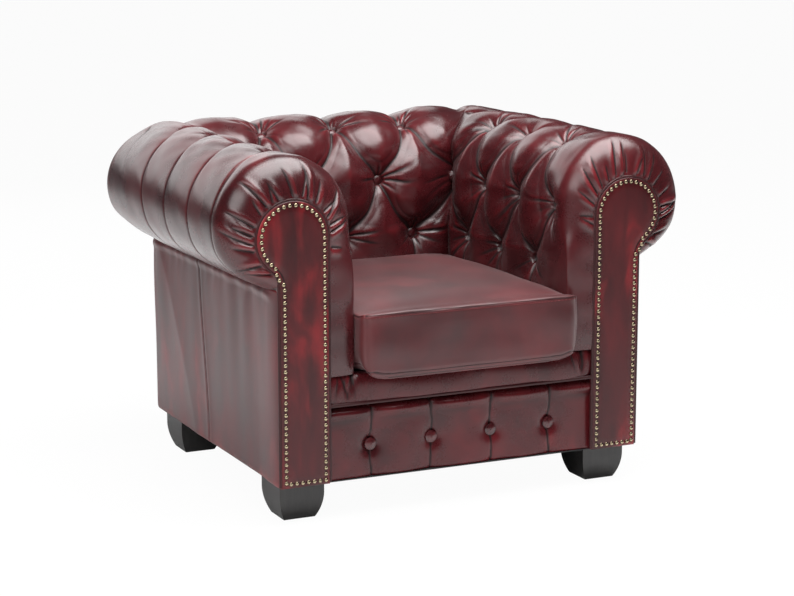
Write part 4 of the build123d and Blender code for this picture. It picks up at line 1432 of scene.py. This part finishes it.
@dataclass
class SeatCushion:
    """Loose boxed seat cushion, swollen by its filling."""

    corner: float = 0.006
    edge: float = 0.004
    voxel: float = 0.0055
    pressure: float = 15.0
    cap: float = 0.030
    top_seam: float = 0.1225
    low_seam: float = 0.017
    overhang: float = 0.016
    crown: float = 0.028
    spread: float = 0.011
    turn: float = 0.026
    cheek: float = 0.046
    cheek_reach: float = 0.060
    groove: float = 0.0016
    groove_width: float = 0.0030
    swell: float = 0.0010
    swell_width: float = 0.011
    wall_waves: float = 0.0014
    top_waves: float = 0.0012
    stitch_drop: float = 0.0055
    swell_steps: int = 20
    seam_points: int = 300

    @property
    def room(self) -> tuple[Vector, Vector]:
        """Lowest and highest corner of the cushion's place."""
        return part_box("cushion_cover")

    def blank(self) -> bpy.types.Object:
        """Make a box with rounded corners, a little smaller than the finished cushion.

        Returns:
            The box.
        """
        low, high = self.room
        size = Vector((high.x - low.x + 0.001, high.y - low.y - 0.006, high.z - low.z - 0.022))
        middle = Vector(((low.x + high.x) / 2.0, (low.y + high.y) / 2.0 - 0.001, low.z + size.z / 2.0 + 0.0005))
        close = 1e-5

        def upright(edge: bmesh.types.BMEdge) -> bool:
            """True for an edge that stands."""
            return abs(edge.verts[0].co.z - edge.verts[1].co.z) > 0.01

        def rim(edge: bmesh.types.BMEdge) -> bool:
            """Pick the edges between a wall and the top or the bottom.

            Args:
                edge: Edge to test.

            Returns:
                True for such an edge.
            """
            one, two = (vert.co.z for vert in edge.verts)
            at_end = abs(one - two) < close and abs(abs(one - middle.z) - size.z / 2.0) < close
            return at_end and {round(face.normal.z) for face in edge.link_faces} not in ({1}, {-1})

        bm = bmesh.new()
        bmesh.ops.create_cube(bm, size=1.0, matrix=Matrix.Translation(middle) @ Matrix.Diagonal((*size, 1.0)))
        for chosen, offset, segments in ((upright, self.corner, 6), (rim, self.edge, 2)):
            bmesh.ops.bevel(bm, geom=[edge for edge in bm.edges if chosen(edge)], offset=offset, offset_type="OFFSET",
                            affect="EDGES", segments=segments, profile=0.5, material=-1)
        return from_bmesh("cushion_blank", bm)

    def swollen(self) -> bpy.types.Mesh:
        """Remesh the blank, blow it up a little and keep it inside its place.

        Returns:
            The mesh of the swollen cushion.
        """
        low, high = self.room
        blank = self.blank()
        skin = blank.modifiers.new("skin", "REMESH")
        skin.mode, skin.voxel_size = "VOXEL", self.voxel
        scene = bpy.context.scene
        mesh = bpy.data.meshes.new_from_object(blank.evaluated_get(bpy.context.evaluated_depsgraph_get()))
        bpy.data.objects.remove(blank)
        start = read_points(mesh)
        soft = link("cushion_swelling", mesh)
        held = soft.vertex_groups.new(name="held")
        wall = np.minimum.reduce([start[:, 0] - low.x, high.x - start[:, 0], start[:, 1] - low.y, high.y - start[:, 1]])
        seam = np.abs(start[:, 2] - low.z - self.top_seam) < 0.0075
        sewn = (start[:, 2] < low.z + 0.004) | (seam & (wall < 0.012))
        held.add([int(k) for k in np.nonzero(sewn)[0]], 1.0, "REPLACE")
        cloth = soft.modifiers.new("swell", "CLOTH")
        cloth.settings.use_pressure = True
        cloth.settings.uniform_pressure_force = self.pressure
        cloth.settings.effector_weights.gravity = 0.0
        cloth.settings.vertex_group_mass = "held"
        for step in range(1, self.swell_steps + 1):
            scene.frame_set(step)
        done = bpy.data.meshes.new_from_object(soft.evaluated_get(bpy.context.evaluated_depsgraph_get()))
        bpy.data.objects.remove(soft)
        scene.frame_set(1)
        move = read_points(done) - start
        size = np.maximum(np.linalg.norm(move, axis=1), 1e-9)
        points = start + move * np.minimum(1.0, self.cap / size)[:, None]
        write_points(done, np.clip(points, (low.x, low.y - 0.004, low.z), (high.x, high.y, high.z + 0.006)))
        return done

    def build(self, dresser: Dresser) -> None:
        """Make the cushion, press its seams in and dress it.

        Args:
            dresser: Dresser that finishes the pieces.
        """
        low, high = self.room
        mesh = self.swollen()
        bm = bmesh.new()
        bm.from_mesh(mesh)
        relax(bm, bm.verts[:], 1)
        bmesh.ops.subdivide_edges(bm, edges=bm.edges[:], cuts=1, use_grid_fill=True, smooth=0.6)
        bm.to_mesh(mesh)
        bm.free()
        mesh.shade_smooth()
        points = read_points(mesh)
        points[:, 2] += self.dome(points)
        rise = points[:, 2] - low.z
        write_points(mesh, self.settled(points))
        bm = bmesh.new()
        bm.from_mesh(mesh)
        cheeks = [v for v in bm.verts if abs(v.co.x) > high.x - self.cheek_reach and v.co.y < low.y + self.cheek_reach
                  and v.co.z < low.z + self.top_seam - 0.004]
        relax(bm, bm.verts[:], 4)
        relax(bm, cheeks, 16)
        bm.to_mesh(mesh)
        bm.free()
        points, normals = read_points(mesh), read_points(mesh, normals=True)
        side = smooth(0.80, 0.50, np.abs(normals[:, 2]))
        deep = np.zeros(len(points))
        for place in (self.top_seam, self.low_seam):
            away = rise - place
            deep += self.groove * bell(away, self.groove_width) - self.swell * bell(away, self.swell_width)
        around = np.arctan2(points[:, 1], points[:, 0]) * 0.35
        deep = deep * side + self.wall_waves * ripple(around, points[:, 2], 0.09, 51) * side
        deep += self.top_waves * ripple(points[:, 0], points[:, 1], 0.16, 53) * (1.0 - side) * (normals[:, 2] > 0.0)
        points = points - normals * deep[:, None]
        write_points(mesh, points)
        mark_wear_and_shade(mesh, FIRM_RIDGE, 90.0)
        dresser.dress(link("seat_cushion", mesh), Slot.CUSHION, "cushion_cover", "cushion_core", body="cushion",
                      fill=0.85)
        for name, place, radius in (("cushion_seam_top", self.top_seam, 0.0012),
                                    ("cushion_seam_low", self.low_seam, 0.0010)):
            walk = self.seam(points, normals, rise, place)
            dresser.dress(bead(name, [spot - out * radius * 0.4 for spot, out in walk], radius, closed=True),
                          Slot.CUSHION, body="cushion", material=dresser.piping)
        self.stitches(dresser, self.seam(points, normals, rise, self.top_seam - self.stitch_drop))

    def dome(self, points: Array) -> Array:
        """Raise the top panel from its seam to its full crown.

        Args:
            points: One row of x, y, z per point of the boxed cushion.

        Returns:
            How far each point still has to rise.
        """
        low, high = self.room
        x, y, z = points.T
        across = np.minimum(x - low.x, high.x - x).clip(0.0)
        deep = np.minimum(y - low.y, high.y - y).clip(0.0)
        swell = (1.0 - fade(across, 0.030)) * (1.0 - fade(deep, 0.042))
        full = low.z + self.top_seam - 0.001 - 0.006 * smooth(high.y - 0.30, high.y, y) + self.crown * swell
        above = smooth(low.z + self.top_seam - 0.004, low.z + self.top_seam + 0.008, z)
        return (full - z) * above * 0.9

    def droop(self, y: Array, z: Array) -> Array:
        """Let the cushion's front edge swell up and sag over the lip.

        Args:
            y: Depth of each point.
            z: Its height.

        Returns:
            How far it rises.
        """
        low, high = self.room
        ahead = smooth(low.y + 0.036, low.y + 0.006, y)
        return ahead * (0.006 - (self.overhang + 0.006) * smooth(high.z - 0.03, low.z + 0.01, z))

    def settled(self, points: Array) -> Array:
        """Let the cushion settle: its front sags, spreads and rounds off.

        Args:
            points: One row of x, y, z per point of the boxed cushion.

        Returns:
            The points of the settled cushion.
        """
        low, high = self.room
        x, y, z = points.T.copy()
        z = z + self.droop(y, z)
        foot = low.z + self.droop(y, np.full_like(y, low.z))
        ahead = smooth(low.y + 0.110, low.y + 0.030, y)
        half, way = (high.x - low.x) / 2.0, np.where(x < 0.0, -1.0, 1.0)

        def rounded(one: Array, two: Array, radius: Array) -> tuple[Array, Array]:
            """Round the corner that two walls share.

            Args:
                one: Distance from the first wall.
                two: Distance from the second.
                radius: Radius of the corner.

            Returns:
                Both distances after the rounding.
            """
            a, b = np.clip(1.0 - one / radius, 0.0, 1.0), np.clip(1.0 - two / radius, 0.0, 1.0)
            keep = np.maximum(a, b) / np.maximum(np.hypot(a, b), 1e-6)
            gone = np.where(a * b > 0.0, 1.0 - keep, 0.0)
            return one + radius * a * gone, two + radius * b * gone

        wall, rise = rounded(half - np.abs(x), z - foot, 0.003 + self.cheek * ahead)
        front, rise = rounded(y - low.y, rise, np.full_like(y, self.turn))
        wall, front = rounded(wall, front, np.full_like(y, self.turn))
        x = way * (half - wall)
        x += self.spread * smooth(0.06, 0.25, x) * smooth(low.y + 0.050, low.y + 0.020, y)
        return np.stack([x, low.y + front, foot + rise], 1)

    def seam(self, points: Array, normals: Array, rise: Array, place: float) -> Walk:
        """Follow one sewn seam round the finished cushion.

        Args:
            points: Points of the finished cushion.
            normals: Their normals.
            rise: Their heights on the boxed cushion.
            place: Height of the seam on the boxed cushion.

        Returns:
            Points on the wall in order, each with the way out of it.
        """
        low, high = self.room
        near = np.nonzero((np.abs(rise - place) < 0.006) & (np.abs(normals[:, 2]) < 0.85))[0]
        x, y = points[near, 0], points[near, 1] - (low.y + high.y) / 2.0
        turn = np.arctan2(y / (high.y - low.y), x / (high.x - low.x))
        count = self.seam_points
        weight = bell(rise[near] - place, 0.0018) + 1e-6
        bins = np.floor((turn + math.pi) / (2.0 * math.pi) * count).astype(int) % count
        total = np.bincount(bins, weight, count) + 1e-12
        spots, outs = (np.stack([np.bincount(bins, weight * values[near, axis], count) / total for axis in range(3)], 1)
                       for values in (points, normals))
        kept = total > 1e-3
        return [(Vector(spot), Vector(out).normalized()) for spot, out in zip(spots[kept], outs[kept])]

    def stitches(self, dresser: Dresser, walk: Walk) -> None:
        """Lay stitches along a seam.

        Args:
            dresser: Dresser that finishes them.
            walk: Points along the seam, each with the way out.
        """
        bm = bmesh.new()
        for (one, _), (two, _) in zip(walk, walk[1:] + walk[:1]):
            way = two - one
            turn = way.to_track_quat("X", "Z").to_matrix().to_4x4()
            size = Matrix.Diagonal((way.length * 0.62, 0.0007, 0.0008, 1.0))
            bmesh.ops.create_cube(bm, size=1.0, matrix=Matrix.Translation((one + two) / 2.0) @ turn @ size)
        dresser.dress(from_bmesh("cushion_stitches", bm), Slot.ZIP, body="cushion", material=dresser.thread)


@dataclass
class SeatDeck:
    """Padded platform cloth under the loose cushion."""

    grid: tuple[int, int] = (90, 100)

    def build(self, dresser: Dresser) -> None:
        """Make and dress the deck.

        Args:
            dresser: Dresser that finishes the pieces.
        """
        low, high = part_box("deck_pad")

        def shape(s: Array, t: Array) -> tuple[Array, Array, Array]:
            """Points of the deck.

            Args:
                s: Share of the width.
                t: Share of the way to the rear.

            Returns:
                x, y and z of each point.
            """
            x, y = low.x + (high.x - low.x) * s, low.y + (high.y - low.y) * t
            edge = np.minimum.reduce([x - low.x, high.x - x, y - low.y, high.y - y])
            return x, y, high.z - 0.0012 - 0.006 * fade(edge, 0.010) + 0.0008 * ripple(x, y, 0.12, 61)

        made = framed("deck_cover", self.grid, shape, 2, low.z + 0.001)
        dresser.dress(made, Slot.DUST, "deck_pad", fill=0.7)


def aimed(place: Vector, way: Vector) -> Matrix:
    """Where a lamp or the camera stands, turned to look one way."""
    return Matrix.Translation(place) @ way.to_track_quat("-Z", "Y").to_matrix().to_4x4()


@dataclass(frozen=True)
class SoftBox:
    """One rectangular lamp: where it hangs, the point that it faces, its width and height, and its watts."""

    name: str
    place: Triple
    aim: Triple
    size: tuple[float, float]
    power: float

    def hang(self) -> None:
        """Put the lamp in the scene."""
        data = bpy.data.lights.new(self.name, "AREA")
        data.shape, data.size, data.size_y, data.energy = "RECTANGLE", *self.size, self.power
        lamp = link(self.name, data)
        lamp.visible_camera = False
        lamp.matrix_world = aimed(Vector(self.place), Vector(self.aim) - Vector(self.place))


@dataclass(frozen=True)
class Studio:
    """Camera, white ground and soft light."""

    lens: float = 99.82
    target: Triple = (0.02935, -0.027, 0.3725)
    azimuth: float = math.radians(-25.32)
    elevation: float = math.radians(11.22)
    distance: float = 4.987
    ambient: Colour = (0.11, 0.11, 0.113)
    mirrored: Colour = (0.05, 0.05, 0.052)
    lamps: tuple[SoftBox, ...] = (
        SoftBox("top_box", (0.3, -0.7, 2.9), (0.0, 0.0, 0.4), (3.0, 2.2), 172.0),
        SoftBox("front_box", (-2.8, -2.3, 2.5), (0.0, 0.0, 0.5), (2.6, 2.0), 66.0),
        SoftBox("rear_wall", (-0.4, 3.6, 2.3), (0.0, 0.0, 0.7), (5.0, 2.6), 58.0),
    )

    def camera(self) -> None:
        """Stand the camera where the photograph was taken from."""
        made = bpy.data.cameras.new("camera")
        made.lens, made.sensor_width, made.sensor_fit = self.lens, 36.0, "HORIZONTAL"
        made.clip_end = 120.0
        level = math.cos(self.elevation)
        back = Vector((math.sin(self.azimuth) * level, -math.cos(self.azimuth) * level, math.sin(self.elevation)))
        holder = link("camera", made)
        holder.matrix_world = aimed(Vector(self.target) + back * self.distance, -back)
        bpy.context.scene.camera = holder

    def floor(self) -> None:
        """Lay the pale floor."""
        bm = bmesh.new()
        bmesh.ops.create_grid(bm, x_segments=1, y_segments=1, size=45.0)
        made = from_bmesh("floor", bm)
        made.data.materials.append(FloorFinish("pale_floor").material())

    def world(self) -> None:
        """Make soft grey surroundings that show as white."""
        world = bpy.data.worlds.new("studio")
        world.use_nodes = True
        bpy.context.scene.world = world
        g = Graph(world.node_tree)
        shine = g.add("ShaderNodeLightPath", {}, {}, "Is Glossy Ray")
        colour = g.mix(g.seen(), g.mix(shine, self.ambient, self.mirrored), (1.0, 1.0, 1.0))
        light = g.add("ShaderNodeBackground", {}, {"Color": colour, "Strength": 1.0})
        g.add("ShaderNodeOutputWorld", {}, {"Surface": light})

    def build(self) -> None:
        """Set the studio up."""
        bpy.context.scene.view_settings.view_transform = "Standard"
        self.camera()
        self.floor()
        self.world()
        for lamp in self.lamps:
            lamp.hang()


def main() -> None:
    """Build the studio, the upholstery and the finishes, and report each piece."""
    logging.basicConfig(level=logging.INFO, format="%(name)s: %(message)s")
    Studio().build()
    dresser = Dresser()
    dresser.carry_over()
    for side in Side:
        ArmPad(side).build(dresser)
        ArmFacing(side).build(dresser)
    BackPad().build(dresser)
    FrontApron().build(dresser)
    SeatLip().build(dresser)
    OutsidePanels().build(dresser)
    SeatCushion().build(dresser)
    SeatDeck().build(dresser)
    LOG.info("%d pieces", len(dresser.pieces))


if __name__ == "__main__":
    main()
